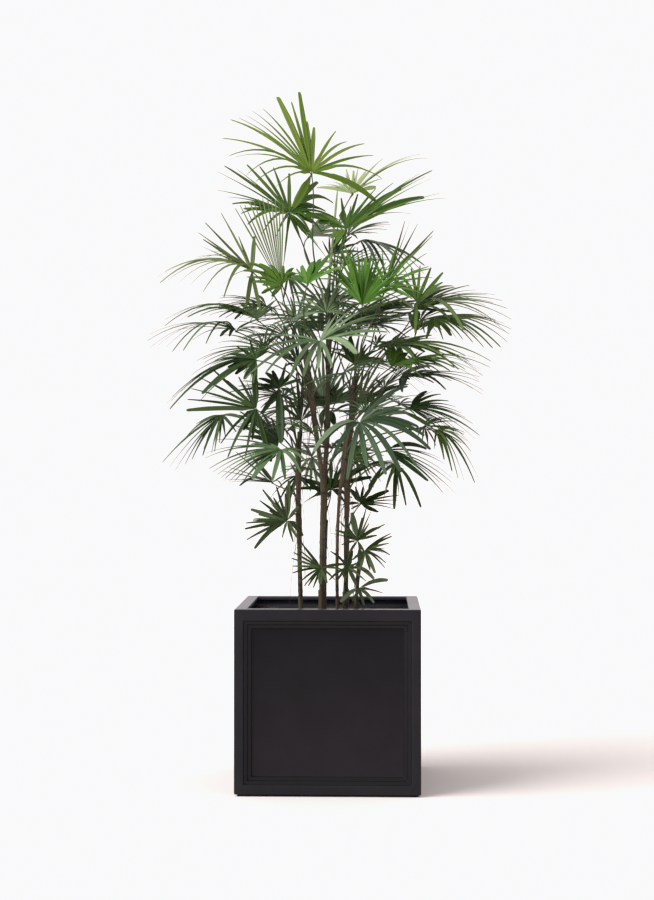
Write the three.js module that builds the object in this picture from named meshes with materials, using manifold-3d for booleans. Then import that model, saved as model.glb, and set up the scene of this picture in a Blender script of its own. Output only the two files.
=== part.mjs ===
// A finger palm, rhapis multifida, in a square black planter. Six bamboo-like canes stand in the soil, and
// each frond is a fan of folded fingers at the end of a thin stalk that leaves its cane.
// Millimetres, +Z up, the origin at the middle of the planter's underside, the planter's front towards -Y.
import * as THREE from 'three';
import { mergeVertices } from 'three/addons/utils/BufferGeometryUtils.js';
import Module from 'manifold-3d';

// The clearance that a solid keeps to the one that carries it or runs beside it
const CLEARANCE = 0.3;

// Planter: a box with a stepped panel in each side, a flat rim that overhangs its wall, and a low foot.
// A cut runs OVERCUT past the face that it opens.
const POT_SIDE = 380;
const POT_HEIGHT = 380;
const FOOT_SIDE = 368;
const FOOT_HEIGHT = 4;
const FRAME_STILE = 19.5;
const FRAME_RAIL = 24;
const PANEL_STEPS = 3;
const STEP_RUN = 7.7;
const STEP_DEPTH = 4;
const FLOOR_THICKNESS = 14;
const HOLLOW_SIDE = 332;
const UNDERCUT_SIDE = 354;
const UNDERCUT_FROM = 352;
const MOUTH_SIDE = 330;
const LIP_THICKNESS = 8;
const SOIL_TOP = 357;
const OVERCUT = 1;

// Canes: [radius at the soil, radius at the top, places that the middle of the cane passes through]
const CANE_SIDES = 10;
const CANE_SPAN = 90;
const CANE_DOME = 3;
const HALVINGS = 20;
const CANES = {
  a: [5.2, 4, [[-62, 0, 357], [-65, 3, 470], [-67, 6, 575], [-68, 8, 675], [-66, 6, 745]]],
  b: [5.6, 4.4, [[-17, -25, 357], [-16, -28, 515], [-15, -30, 635], [-29, -34, 745], [-40, -38, 830],
    [-48, -40, 890], [-51, -42, 945]]],
  c: [5.8, 4.4, [[-9, 25, 357], [-8, 28, 510], [-9, 30, 640], [-8, 30, 725], [-5, 26, 875], [-3, 22, 985],
    [-4, 18, 1055]]],
  d: [3.7, 3, [[17, -40, 357], [16, -44, 470], [20, -48, 590], [27, -50, 650], [33, -52, 715],
    [39, -54, 770]]],
  e: [5.2, 4, [[33, 12, 357], [35, 14, 505], [36, 16, 600], [37, 16, 685], [44, 14, 755], [48, 12, 815],
    [51, 10, 860]]],
  f: [3.5, 2.8, [[56, -35, 357], [59, -38, 425], [64, -40, 470], [64, -42, 505]]],
};

// The unopened leaf that stands on the tallest cane, and its radius at shares of the way up to its tip
const SPEAR_CANE = 'c';
const SPEAR_TIP = [16, 14, 1266];
const SPEAR_SIDES = 6;
const SPEAR_RADII = [[0, 3.2], [0.55, 3.2], [0.8, 4], [1, 0.8]];

// Fronds of each cane: [height of the stalk's foot, hub x, y, z, heading, pitch and roll in degrees, length
// of the middle fingers, number of fingers, half the angle they spread over, droop, tone]. The heading is 0
// towards +X and 90 towards +Y, the roll turns the fan about its middle line. A frond whose foot is SHARED
// leaves the cane in the sheath of the frond above it, and is one piece with that.
const SHARED = null;
const FRONDS = {
  a: [
    [735, -62, 10, 768, 60, 60, 0, 110, 9, 85, 0.3, 'dark'],
    [715, -105, -60, 835, 150, 15, -40, 150, 10, 130, 0.4, 'dark'],
    [705, -150, -110, 790, 178, 12, -65, 155, 12, 105, 0.12, 'dark'],
    [695, -230, -20, 780, 200, -38, -25, 160, 11, 100, 0.6, 'mid'],
    [660, -95, -170, 705, 208, -28, -10, 180, 13, 108, 0.5, 'mid'],
    [660, -90, 180, 805, 120, -12, -20, 165, 10, 115, 0.5, 'grey'],
    [SHARED, -150, 150, 720, 150, -25, -15, 150, 9, 110, 0.5, 'grey'],
    [600, -125, 50, 635, 175, 8, 0, 105, 9, 110, 0.5, 'dark'],
    [SHARED, -75, 120, 650, 105, 10, -10, 115, 9, 110, 0.5, 'dark'],
    [565, -90, -30, 555, 175, 18, -60, 100, 12, 112, 0.2, 'mid'],
  ],
  b: [
    [925, -125, -40, 1095, 118, 60, 0, 150, 12, 32, 0.05, 'pale'],
    [915, -165, -30, 1085, 182, 14, -42, 198, 13, 122, 0.8, 'mid'],
    [910, -95, -130, 1045, 250, 10, 0, 85, 9, 112, 0.4, 'young'],
    [905, -45, -90, 1050, 45, 45, 0, 90, 8, 100, 0.35, 'young'],
    [875, -80, 190, 995, 130, 20, -20, 165, 10, 115, 0.5, 'grey'],
    [SHARED, -150, 130, 930, 155, 2, -25, 155, 9, 110, 0.5, 'grey'],
    [855, -160, 60, 990, 180, 14, -20, 215, 12, 90, 0.85, 'dark'],
    [840, -200, -10, 960, 180, -4, -15, 200, 12, 108, 0.8, 'mid'],
    [820, -155, -60, 895, 198, -25, -35, 185, 13, 112, 0.5, 'dark'],
    [SHARED, -65, -60, 885, 205, 25, -30, 130, 10, 115, 0.4, 'dark'],
    [810, -15, -190, 925, 268, -28, 0, 190, 14, 130, 0.8, 'light'],
    [SHARED, 30, -110, 865, 310, -5, 20, 125, 10, 115, 0.5, 'grey'],
    [410, -15, -110, 460, 225, -10, -40, 75, 10, 135, 0.2, 'mid'],
  ],
  c: [
    [1045, -40, 20, 1300, 115, 52, 5, 205, 14, 132, 0.4, 'young'],
    [1025, -90, 60, 1220, 150, 42, -15, 185, 13, 120, 0.35, 'mid'],
    [1015, 35, -10, 1175, 66, 45, 25, 210, 12, 88, 0.3, 'mid'],
    [1005, 45, 150, 1275, 30, 35, 20, 170, 9, 125, 0.4, 'pale'],
    [995, -55, 190, 1185, 20, 15, 30, 115, 9, 95, 0.3, 'grey'],
    [990, 60, 150, 1170, 0, -15, 15, 180, 10, 82, 0.6, 'grey'],
    [975, -5, 170, 1140, 95, 42, 0, 160, 10, 115, 0.4, 'grey'],
    [SHARED, -95, 105, 1090, 155, 35, -15, 145, 9, 115, 0.4, 'grey'],
    [965, -25, 180, 1040, 85, 30, 15, 170, 10, 118, 0.45, 'grey'],
    [SHARED, 60, 190, 1070, 55, 25, 20, 150, 9, 112, 0.45, 'grey'],
    [940, 180, 60, 1010, 0, 2, 15, 215, 12, 70, 0.5, 'dark'],
    [770, -15, 120, 800, 100, 60, 0, 140, 11, 65, 0.1, 'grey'],
    [SHARED, 60, 150, 805, 50, 20, 20, 145, 9, 110, 0.4, 'grey'],
    [640, 40, 190, 715, 75, -25, 0, 165, 10, 115, 0.5, 'grey'],
    [SHARED, -45, 165, 690, 115, -20, -15, 145, 9, 112, 0.5, 'grey'],
    [555, 0, 90, 620, 90, 40, 0, 75, 8, 105, 0.4, 'dark'],
  ],
  d: [
    [745, 115, -60, 835, 20, 35, 0, 100, 8, 95, 0.3, 'dark'],
    [685, 65, -190, 760, 290, -38, 0, 195, 15, 132, 0.55, 'light'],
  ],
  e: [
    [850, 52, 10, 888, 80, 50, 0, 150, 10, 85, 0.4, 'dark'],
    [845, 70, -120, 1005, 85, 52, 0, 130, 13, 118, 0.35, 'young'],
    [SHARED, 120, -80, 1045, 50, 45, 20, 115, 9, 110, 0.35, 'young'],
    [845, 125, 40, 1075, 0, 57, 75, 155, 6, 24, 0.02, 'mid'],
    [825, 185, -60, 1015, 75, 50, 15, 125, 11, 110, 0.3, 'mid'],
    [810, 30, 170, 990, 40, 25, 25, 165, 10, 115, 0.5, 'grey'],
    [SHARED, 130, 150, 945, 25, 15, 25, 150, 9, 110, 0.5, 'grey'],
    [800, 220, 0, 985, -10, -15, 30, 180, 12, 68, 0.5, 'dark'],
    [780, 185, 110, 965, 70, 50, 0, 110, 9, 85, 0.2, 'dark'],
    [770, 130, -60, 880, -5, 8, 12, 215, 12, 85, 0.45, 'mid'],
    [SHARED, 135, -15, 925, 12, 15, 25, 170, 10, 90, 0.45, 'dark'],
    [760, 150, 20, 860, -5, -8, 12, 185, 12, 92, 0.55, 'dark'],
    [750, 65, 190, 910, 60, -8, 20, 170, 10, 115, 0.55, 'grey'],
    [SHARED, 150, 160, 845, 40, -15, 20, 150, 9, 112, 0.5, 'grey'],
    [695, 170, 30, 795, -5, -18, 40, 165, 12, 85, 0.55, 'mid'],
    [660, 225, -50, 745, -40, -48, 20, 130, 11, 95, 0.5, 'mid'],
    [640, 120, 70, 705, -10, -20, 30, 170, 11, 70, 0.5, 'dark'],
    [620, 140, -60, 675, -50, -55, 0, 125, 10, 95, 0.4, 'mid'],
    [535, 65, 60, 590, 20, 20, 25, 90, 9, 112, 0.4, 'dark'],
    [405, 40, -90, 460, -30, -10, 20, 70, 9, 125, 0.4, 'mid'],
  ],
  f: [
    [490, 60, -80, 515, 60, 40, 20, 75, 9, 125, 0.3, 'mid'],
    [470, 75, -75, 495, -10, 0, 50, 78, 9, 105, 0.4, 'mid'],
    [385, 62, -75, 415, -50, -10, 50, 70, 8, 110, 0.45, 'mid'],
  ],
};

// Fan: how far the fingers are joined, how they widen, narrow, shorten and rise out of the fan's plane
const WEB_SHARE = 0.125;
const CUP_DEGREES = 12;
const END_FINGER_SHARE = 1.9;
const CELL_JITTER = 0.3;
const SIDE_SHORTENING = 0.28;
const LENGTH_LEAST = 0.93;
const LENGTH_JITTER = 0.12;
const LENGTH_SEED = 50;
const WIDTH_BASE = 5;
const WIDTH_PER_LENGTH = 0.03;
const ROOM_SHARE = 0.65;
const DROOP_POWER = 1.5;
const COURSE_STEPS = 24;
const STATIONS = [10, 19];
const STATION_WIDTHS = [1, 0.8];
const LEAF_THICKNESS = 2;
const THICKNESS_PER_LENGTH = 0.011;
const HUB_ABOVE = 1.5;
const HUB_BELOW = 4;

// Stalk: a three-sided rod on a curve that climbs from the cane and levels out at the hub. The bows are
// tried in this order until the stalk is clear of the others, then the gaps between its foot and the cane.
const STALK_FOOT_RADIUS = 3;
const STALK_HUB_RADIUS = 1.9;
const STALK_SPANS = 5;
const STALK_CLIMB = 1.6;
const STALK_REACH = 0.38;
const STALK_SIDES = 3;
const STALK_SUNK = 2;
const STALK_LOW = 1;
const HUB_LIFT = 0.5;
const STALK_BOWS = [0, 0.12, -0.12, 0.24, -0.24, 0.4, -0.4];
const FOOT_GAPS = [-0.3, -0.2, -0.1, 0, 0.1, 0.2, 0.3, 0.4, 0.5, 0.6, 0.8, 1];
const FOOT_GAP = 0.6;

// Other courses that are tried for a finger that would touch something: [droop share, swing, length share]
const COURSES = [
  [1, 0, 1], [0.6, 0, 1], [1.4, 0, 1], [1, 0.3, 1], [1, -0.3, 1], [1, 0, 0.8], [0.8, 0.2, 0.6], [0.8, -0.2, 0.6],
  [1, 0, 0.4],
];

const FINISHES = {
  pot: { color: 0x2e2e31, roughness: 0.75, metalness: 0 },
  soil: { color: 0x1c1815, roughness: 1, metalness: 0 },
  cane: { color: 0x4a3f2c, roughness: 0.8, metalness: 0 },
  spear: { color: 0x9fae74, roughness: 0.6, metalness: 0 },
  young: { color: 0x4c8a1f, roughness: 0.5, metalness: 0 },
  mid: { color: 0x3b6628, roughness: 0.5, metalness: 0 },
  dark: { color: 0x27461f, roughness: 0.5, metalness: 0 },
  light: { color: 0x7fa377, roughness: 0.45, metalness: 0 },
  grey: { color: 0x4f6d55, roughness: 0.55, metalness: 0 },
  pale: { color: 0x93a878, roughness: 0.55, metalness: 0 },
};

const UP = new THREE.Vector3(0, 0, 1);
const wasm = await Module();
wasm.setup();

// Vectors and chance

function vector(place) {
  return new THREE.Vector3(...place);
}

// A number from 0 to 1 that depends only on the two whole numbers given
function chance(first, second) {
  const wave = Math.sin(first * 127.1 + second * 311.7) * 43758.5453;
  return wave - Math.floor(wave);
}

// Solids and geometries

function solidOf(geometry) {
  const bare = new THREE.BufferGeometry();
  bare.setAttribute('position', geometry.getAttribute('position'));
  bare.setIndex(geometry.getIndex());
  const merged = mergeVertices(bare);
  return new wasm.Manifold(new wasm.Mesh({
    numProp: 3,
    vertProperties: Float32Array.from(merged.getAttribute('position').array),
    triVerts: Uint32Array.from(merged.getIndex().array),
  }));
}

function geometryOf(solid) {
  const mesh = solid.getMesh();
  const geometry = new THREE.BufferGeometry();
  geometry.setAttribute('position', new THREE.BufferAttribute(mesh.vertProperties, 3));
  geometry.setIndex(new THREE.BufferAttribute(mesh.triVerts, 1));
  geometry.computeVertexNormals();
  return geometry;
}

function solidFromTriangles(points, triangles) {
  const geometry = new THREE.BufferGeometry().setFromPoints(points);
  geometry.setIndex(triangles);
  return solidOf(geometry);
}

// The biggest closed body of a solid, without the loose scraps beside it
function mainBody(solid) {
  return solid.decompose().reduce((best, next) => (next.volume() > best.volume() ? next : best));
}

// A box that stands on a height, square in plan unless a depth is given
function block(width, from, to, depth = width) {
  return solidOf(new THREE.BoxGeometry(width, depth, to - from).translate(0, 0, (from + to) / 2));
}

// A solid through rings of the same number of points, closed flat at both ends
function loft(rings) {
  const sides = rings[0].length;
  const triangles = [];
  for (let ring = 1; ring < rings.length; ring += 1) {
    for (let side = 0; side < sides; side += 1) {
      const next = (side + 1) % sides;
      const low = (ring - 1) * sides;
      const high = ring * sides;
      triangles.push(low + side, low + next, high + next, low + side, high + next, high + side);
    }
  }
  const last = (rings.length - 1) * sides;
  for (let side = 1; side < sides - 1; side += 1) {
    triangles.push(0, side + 1, side, last, last + side, last + side + 1);
  }
  return solidFromTriangles(rings.flat(), triangles);
}

// Planter and soil

function planter() {
  let pot = block(POT_SIDE, FOOT_HEIGHT, POT_HEIGHT).add(block(FOOT_SIDE, 0, FOOT_HEIGHT * 2));
  pot = pot.subtract(block(HOLLOW_SIDE, FLOOR_THICKNESS, UNDERCUT_FROM + OVERCUT));
  pot = pot.subtract(block(UNDERCUT_SIDE, UNDERCUT_FROM, POT_HEIGHT - LIP_THICKNESS));
  pot = pot.subtract(block(MOUTH_SIDE, POT_HEIGHT - LIP_THICKNESS - OVERCUT, POT_HEIGHT + OVERCUT));
  for (let step = 0; step < PANEL_STEPS; step += 1) {
    const inset = step * STEP_RUN;
    const width = POT_SIDE - 2 * (FRAME_STILE + inset);
    const depth = POT_SIDE - 2 * STEP_DEPTH * (step + 1);
    const from = FRAME_RAIL + inset;
    const to = POT_HEIGHT - FRAME_RAIL - inset;
    const kept = block(width + 2 * OVERCUT, from - OVERCUT, to + OVERCUT, depth);
    const across = block(width, from, to, POT_SIDE + 2 * OVERCUT).subtract(kept);
    pot = pot.subtract(across).subtract(across.rotate([0, 0, 90]));
  }
  return pot;
}

function soil() {
  const body = block(HOLLOW_SIDE - 2 * CLEARANCE, FLOOR_THICKNESS + CLEARANCE, SOIL_TOP);
  return body.add(block(UNDERCUT_SIDE - 2 * CLEARANCE, UNDERCUT_FROM + CLEARANCE, SOIL_TOP));
}

// Canes

// The middle line of a cane, and how far up it a height lies as a share
function caneLine(name) {
  const places = CANES[name][2].map(vector);
  places[0].z = SOIL_TOP + CLEARANCE;
  return new THREE.CatmullRomCurve3(places, false, 'catmullrom', 0.5);
}

// Where the middle of a cane is at a height, and its radius there
function caneAt(name, height) {
  const line = caneLine(name);
  const bottom = line.getPoint(0).z;
  const top = line.getPoint(1).z;
  let low = 0;
  let high = 1;
  for (let halving = 0; halving < HALVINGS; halving += 1) {
    const middle = (low + high) / 2;
    if (line.getPoint(middle).z < height) {
      low = middle;
    } else {
      high = middle;
    }
  }
  const [footRadius, topRadius] = CANES[name];
  const radius = THREE.MathUtils.mapLinear(height, bottom, top, footRadius, topRadius);
  return { middle: line.getPoint(low), radius };
}

function levelRing(middle, radius, sides) {
  return Array.from({ length: sides }, (_, side) => {
    const turn = (2 * Math.PI * side) / sides;
    return new THREE.Vector3(radius * Math.cos(turn), radius * Math.sin(turn), 0).add(middle);
  });
}

function cane(name) {
  const places = CANES[name][2];
  const bottom = SOIL_TOP + CLEARANCE;
  const top = places[places.length - 1][2];
  const spans = Math.round((top - bottom) / CANE_SPAN);
  const rings = [];
  for (let ring = 0; ring <= spans; ring += 1) {
    const { middle, radius } = caneAt(name, bottom + ((top - CANE_DOME - bottom) * ring) / spans);
    middle.z = bottom + ((top - CANE_DOME - bottom) * ring) / spans;
    rings.push(levelRing(middle, radius, CANE_SIDES));
  }
  const crown = caneAt(name, top);
  rings.push(levelRing(crown.middle.setZ(top), crown.radius / 2, CANE_SIDES));
  return loft(rings);
}

function spear() {
  const tip = vector(SPEAR_TIP);
  const foot = vector(CANES[SPEAR_CANE][2].at(-1)).add(new THREE.Vector3(0, 0, CLEARANCE));
  return loft(SPEAR_RADII.map(([share, radius]) => {
    const middle = foot.clone().lerp(tip, share);
    return levelRing(middle, radius, SPEAR_SIDES);
  }));
}

// Fronds

// A row of the table with its directions: m runs along the fan's middle, s across it, n up out of it
function readFrond(caneName, row, seed) {
  const [foot, x, y, z, heading, pitch, roll, length, count, spread, droop, tone] = row;
  const [turn, rise, tilt] = [heading, pitch, roll].map(THREE.MathUtils.degToRad);
  const ahead = new THREE.Vector3(Math.cos(turn), Math.sin(turn), 0);
  const m = ahead.clone().multiplyScalar(Math.cos(rise)).addScaledVector(UP, Math.sin(rise));
  const level = ahead.clone().multiplyScalar(-Math.sin(rise)).addScaledVector(UP, Math.cos(rise));
  const sideways = m.clone().cross(level);
  const n = level.clone().multiplyScalar(Math.cos(tilt)).addScaledVector(sideways, Math.sin(tilt));
  const s = m.clone().cross(n);
  const thickness = Math.max(LEAF_THICKNESS, length * THICKNESS_PER_LENGTH);
  const hub = new THREE.Vector3(x, y, z);
  return { caneName, foot, hub, m, s, n, length, count, spread, droop, tone, seed, thickness };
}

// The direction in which a finger leaves the hub, at an angle from the fan's middle
function aim(frond, angle) {
  const cup = THREE.MathUtils.degToRad(CUP_DEGREES);
  return frond.m.clone().multiplyScalar(Math.cos(angle) * Math.cos(cup))
    .addScaledVector(frond.s, Math.sin(angle) * Math.cos(cup))
    .addScaledVector(frond.n, Math.sin(cup));
}

// Shares out the fan's angle: each finger gets a cell, wider at the two ends, and points along its middle
function cells(frond) {
  const shares = Array.from({ length: frond.count }, (_, finger) => {
    const end = finger === 0 || finger === frond.count - 1;
    return (end ? END_FINGER_SHARE : 1) * (1 + CELL_JITTER * (chance(frond.seed, finger) - 0.5));
  });
  const whole = shares.reduce((sum, share) => sum + share, 0);
  const spread = THREE.MathUtils.degToRad(frond.spread);
  let from = -spread;
  return shares.map((share) => {
    const to = from + (2 * spread * share) / whole;
    const cell = { from, to, middle: (from + to) / 2 };
    from = to;
    return cell;
  });
}

// Left edge, right edge and keel of a finger's section, each moved outwards by grow
function section(place, along, frond, width, grow) {
  const across = along.clone().cross(frond.n).normalize();
  const above = across.clone().cross(along);
  return [
    place.clone().addScaledVector(across, -width / 2 - grow).addScaledVector(above, grow),
    place.clone().addScaledVector(across, width / 2 + grow).addScaledVector(above, grow),
    place.clone().addScaledVector(above, -frond.thickness - grow),
  ];
}

function rootSection(frond, cell, grow) {
  const reach = frond.length * WEB_SHARE;
  const edge = (angle) => aim(frond, angle).multiplyScalar(reach).add(frond.hub);
  const keel = edge(cell.middle).addScaledVector(frond.n, -frond.thickness - grow);
  return [
    edge(cell.from).addScaledVector(frond.n, grow),
    edge(cell.to).addScaledVector(frond.n, grow),
    keel,
  ];
}

// Sections of one finger from the web outwards, and its tip. It bends down more and more as it goes out.
function finger(frond, cell, index, [droopShare, swing, lengthShare], grow) {
  const spread = THREE.MathUtils.degToRad(frond.spread);
  const room = cell.to - cell.from;
  const angle = cell.middle + swing * room;
  const side = SIDE_SHORTENING * (cell.middle / spread) ** 2;
  const uneven = LENGTH_LEAST + LENGTH_JITTER * chance(frond.seed + LENGTH_SEED, index);
  const length = frond.length * (1 - side) * uneven * lengthShare;
  const end = index === 0 || index === frond.count - 1;
  const fullWidth = (WIDTH_BASE + WIDTH_PER_LENGTH * frond.length) * (end ? END_FINGER_SHARE : 1);
  const start = aim(frond, angle);
  const place = frond.hub.clone();
  const sections = [rootSection(frond, cell, grow)];
  let along = start;
  for (let step = 1; step <= COURSE_STEPS; step += 1) {
    const share = (step - 0.5) / COURSE_STEPS;
    const fall = frond.droop * droopShare * share ** DROOP_POWER;
    along = start.clone().addScaledVector(UP, -fall).normalize();
    place.addScaledVector(along, length / COURSE_STEPS);
    const station = STATIONS.indexOf(step);
    if (station >= 0) {
      const out = (length * step) / COURSE_STEPS;
      const width = Math.min(fullWidth * STATION_WIDTHS[station], ROOM_SHARE * room * out);
      sections.push(section(place, along, frond, width, grow));
    }
  }
  return { sections, tip: place.addScaledVector(along, grow) };
}

// Triangles of a finger's sides between its sections, up to its tip, as numbers of points
function fingerSides(sections, tip) {
  const triangles = [];
  for (let step = 1; step < sections.length; step += 1) {
    const [left, right, keel] = sections[step - 1];
    const [nextLeft, nextRight, nextKeel] = sections[step];
    triangles.push(left, right, nextRight, left, nextRight, nextLeft);
    triangles.push(right, keel, nextKeel, right, nextKeel, nextRight);
    triangles.push(keel, left, nextLeft, keel, nextLeft, nextKeel);
  }
  const [left, right, keel] = sections[sections.length - 1];
  triangles.push(left, right, tip, right, keel, tip, keel, left, tip);
  return triangles;
}

// One finger alone as a closed solid, from the given section outwards
function fingerSolid({ sections, tip }, from) {
  const used = sections.slice(from);
  const numbers = used.map((_, index) => [3 * index, 3 * index + 1, 3 * index + 2]);
  const triangles = [0, 2, 1, ...fingerSides(numbers, 3 * used.length)];
  return solidFromTriangles([...used.flat(), tip], triangles);
}

// The whole fan in one closed mesh: the web round the hub and each finger that has a course
function fan(frond, shares, courses) {
  const points = [
    frond.hub.clone().addScaledVector(frond.n, HUB_ABOVE),
    frond.hub.clone().addScaledVector(frond.n, -HUB_BELOW),
  ];
  const reach = frond.length * WEB_SHARE;
  const edges = [shares[0].from, ...shares.map((cell) => cell.to)];
  edges.forEach((angle) => points.push(aim(frond, angle).multiplyScalar(reach).add(frond.hub)));
  const [above, below, firstEdge] = [0, 1, 2];
  const lastEdge = firstEdge + shares.length;
  const triangles = [above, firstEdge, below, below, lastEdge, above];
  shares.forEach((cell, index) => {
    const left = firstEdge + index;
    const right = left + 1;
    const keel = points.length;
    points.push(rootSection(frond, cell, 0)[2]);
    triangles.push(above, right, left, below, left, keel, below, keel, right);
    if (!courses[index]) {
      triangles.push(left, right, keel);
      return;
    }
    const { sections, tip } = finger(frond, cell, index, courses[index], 0);
    const numbers = [[left, right, keel]];
    sections.slice(1).forEach((ring) => {
      numbers.push([points.length, points.length + 1, points.length + 2]);
      points.push(...ring);
    });
    triangles.push(...fingerSides(numbers, points.length));
    points.push(tip);
  });
  return solidFromTriangles(points, triangles);
}

// Where a frond's sheath stands: the middle and radius of the cane there, and the way outwards from it
function sheath({ leader }) {
  const { middle, radius } = caneAt(leader.caneName, leader.foot);
  middle.z = leader.foot;
  const outwards = leader.hub.clone().sub(middle).setZ(0).normalize();
  return { middle, radius, outwards };
}

// The stalk from its sheath at the cane to the hub, bowed sideways by a share of its length
function stalk(frond, bow, gap) {
  const { leader } = frond;
  const { middle, radius, outwards } = sheath(frond);
  const start = middle.clone().addScaledVector(outwards, radius + gap);
  const end = frond.hub.clone().addScaledVector(frond.m, STALK_SUNK).addScaledVector(frond.n, -STALK_LOW);
  const reach = start.distanceTo(end) * STALK_REACH;
  const sideways = outwards.clone().cross(UP).multiplyScalar(start.distanceTo(end) * bow);
  const climb = outwards.clone().addScaledVector(UP, STALK_CLIMB).normalize();
  const arrive = frond.m.clone().addScaledVector(UP, HUB_LIFT).normalize();
  const curve = new THREE.CubicBezierCurve3(
    start,
    start.clone().addScaledVector(climb, reach).add(sideways),
    end.clone().addScaledVector(arrive, -reach).add(sideways),
    end,
  );
  const rings = [];
  for (let ring = 0; ring <= STALK_SPANS; ring += 1) {
    const share = ring / STALK_SPANS;
    const along = ring === 0 ? outwards : curve.getTangent(share);
    const across = along.clone().cross(leader.n).normalize();
    const above = along.clone().cross(across);
    const size = THREE.MathUtils.lerp(STALK_FOOT_RADIUS, STALK_HUB_RADIUS, share);
    const place = curve.getPoint(share);
    rings.push(Array.from({ length: STALK_SIDES }, (_, corner) => {
      const turn = Math.PI / 2 + (2 * Math.PI * corner) / STALK_SIDES;
      return place.clone().addScaledVector(across, size * Math.cos(turn))
        .addScaledVector(above, size * Math.sin(turn));
    }));
  }
  return loft(rings);
}

// The stalk with its foot as near to its cane as the clearance allows
function settledStalk(frond, bow) {
  const carrier = solids[`cane_${frond.caneName}`];
  const nearer = sheath(frond).outwards.multiplyScalar(-CLEARANCE).toArray();
  const gap = FOOT_GAPS.find((tried) => {
    const moved = stalk(frond, bow, tried).translate(nearer);
    return moved.intersect(carrier).isEmpty();
  });
  return stalk(frond, bow, gap ?? FOOT_GAP);
}

// Room: what is placed already, and whether a solid is clear of it

const placed = [];

function place(solid, owner, kind) {
  placed.push({ solid, owner, kind, box: solid.boundingBox() });
}

function apart(box, other) {
  return [0, 1, 2].some((axis) => box.min[axis] > other.max[axis] || other.min[axis] > box.max[axis]);
}

function isClear(solid, counts) {
  const box = solid.boundingBox();
  return placed.every((piece) => !counts(piece) || apart(box, piece.box)
    || solid.intersect(piece.solid).isEmpty());
}

// The plant, built up in the order in which its pieces claim their room

const solids = { pot: planter(), soil: soil() };
const tones = { pot: 'pot', soil: 'soil', [`spear_${SPEAR_CANE}`]: 'spear' };
for (const name of Object.keys(CANES)) {
  solids[`cane_${name}`] = cane(name);
  tones[`cane_${name}`] = 'cane';
}
solids[`spear_${SPEAR_CANE}`] = spear();
for (const [name, solid] of Object.entries(solids)) {
  place(solid, name, 'carrier');
}

// Every frond, with the leader in whose sheath it starts and the name of the piece that it belongs to
const fronds = [];
for (const [caneName, rows] of Object.entries(FRONDS)) {
  let pieces = 0;
  for (const row of rows) {
    const frond = readFrond(caneName, row, fronds.length + 1);
    if (frond.foot === SHARED) {
      frond.leader = fronds[fronds.length - 1].leader;
    } else {
      frond.leader = frond;
      pieces += 1;
    }
    frond.name = `frond_${caneName}_${pieces}`;
    fronds.push(frond);
  }
}

for (const frond of fronds) {
  frond.cells = cells(frond);
  const web = fan(frond, frond.cells, []);
  const others = (piece) => piece.owner.name !== frond.name;
  const bow = STALK_BOWS.find((share) => isClear(stalk(frond, share, FOOT_GAP).add(web), others)) ?? 0;
  frond.stalk = settledStalk(frond, bow);
  place(frond.stalk.add(web), frond, 'web');
}

const inFront = fronds.filter((frond) => frond.tone !== 'grey');
const behind = fronds.filter((frond) => frond.tone === 'grey');
for (const frond of [...inFront, ...behind]) {
  frond.courses = frond.cells.map((cell, index) => {
    const chosen = COURSES.find((course) => {
      const grown = finger(frond, cell, index, course, CLEARANCE);
      return isClear(fingerSolid(grown, 0), (piece) => piece.owner !== frond)
        && isClear(fingerSolid(grown, 1), (piece) => piece.owner === frond && piece.kind === 'finger');
    });
    if (chosen) {
      place(fingerSolid(finger(frond, cell, index, chosen, 0), 0), frond, 'finger');
    }
    return chosen;
  });
}

for (const frond of fronds) {
  const whole = fan(frond, frond.cells, frond.courses).add(frond.stalk);
  solids[frond.name] = solids[frond.name] ? solids[frond.name].add(whole) : whole;
  tones[frond.name] = frond.leader.tone;
}

const palm = new THREE.Group();
for (const [name, solid] of Object.entries(solids)) {
  const finish = new THREE.MeshStandardMaterial(FINISHES[tones[name]]);
  const mesh = new THREE.Mesh(geometryOf(mainBody(solid)), finish);
  mesh.name = name;
  palm.add(mesh);
}

export default palm;
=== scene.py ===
"""A finger palm, rhapis multifida, in a square black planter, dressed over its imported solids."""

import bpy
import numpy as np
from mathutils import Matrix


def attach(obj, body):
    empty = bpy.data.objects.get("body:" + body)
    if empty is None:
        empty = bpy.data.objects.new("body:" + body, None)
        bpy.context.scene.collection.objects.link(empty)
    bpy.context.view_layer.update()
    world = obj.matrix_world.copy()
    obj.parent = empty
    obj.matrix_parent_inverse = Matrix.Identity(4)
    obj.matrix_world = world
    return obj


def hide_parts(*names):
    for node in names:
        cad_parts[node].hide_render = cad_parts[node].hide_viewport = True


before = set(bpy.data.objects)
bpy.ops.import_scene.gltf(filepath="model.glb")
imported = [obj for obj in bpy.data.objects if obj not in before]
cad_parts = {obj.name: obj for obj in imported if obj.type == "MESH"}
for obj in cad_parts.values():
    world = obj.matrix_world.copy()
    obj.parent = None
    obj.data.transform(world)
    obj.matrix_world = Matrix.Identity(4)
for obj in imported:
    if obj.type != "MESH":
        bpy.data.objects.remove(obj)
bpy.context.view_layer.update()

# ------------------------------------------------------------------------------
# The planter is cast in fibre clay in one piece and painted a matt charcoal black. Each side has a panel
# that lies back in three soft mouldings, the rim is a flat flange over an undercut, and a low foot is set in.
# The whole casting is one profile carried round a square with rounded corners.

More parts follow.
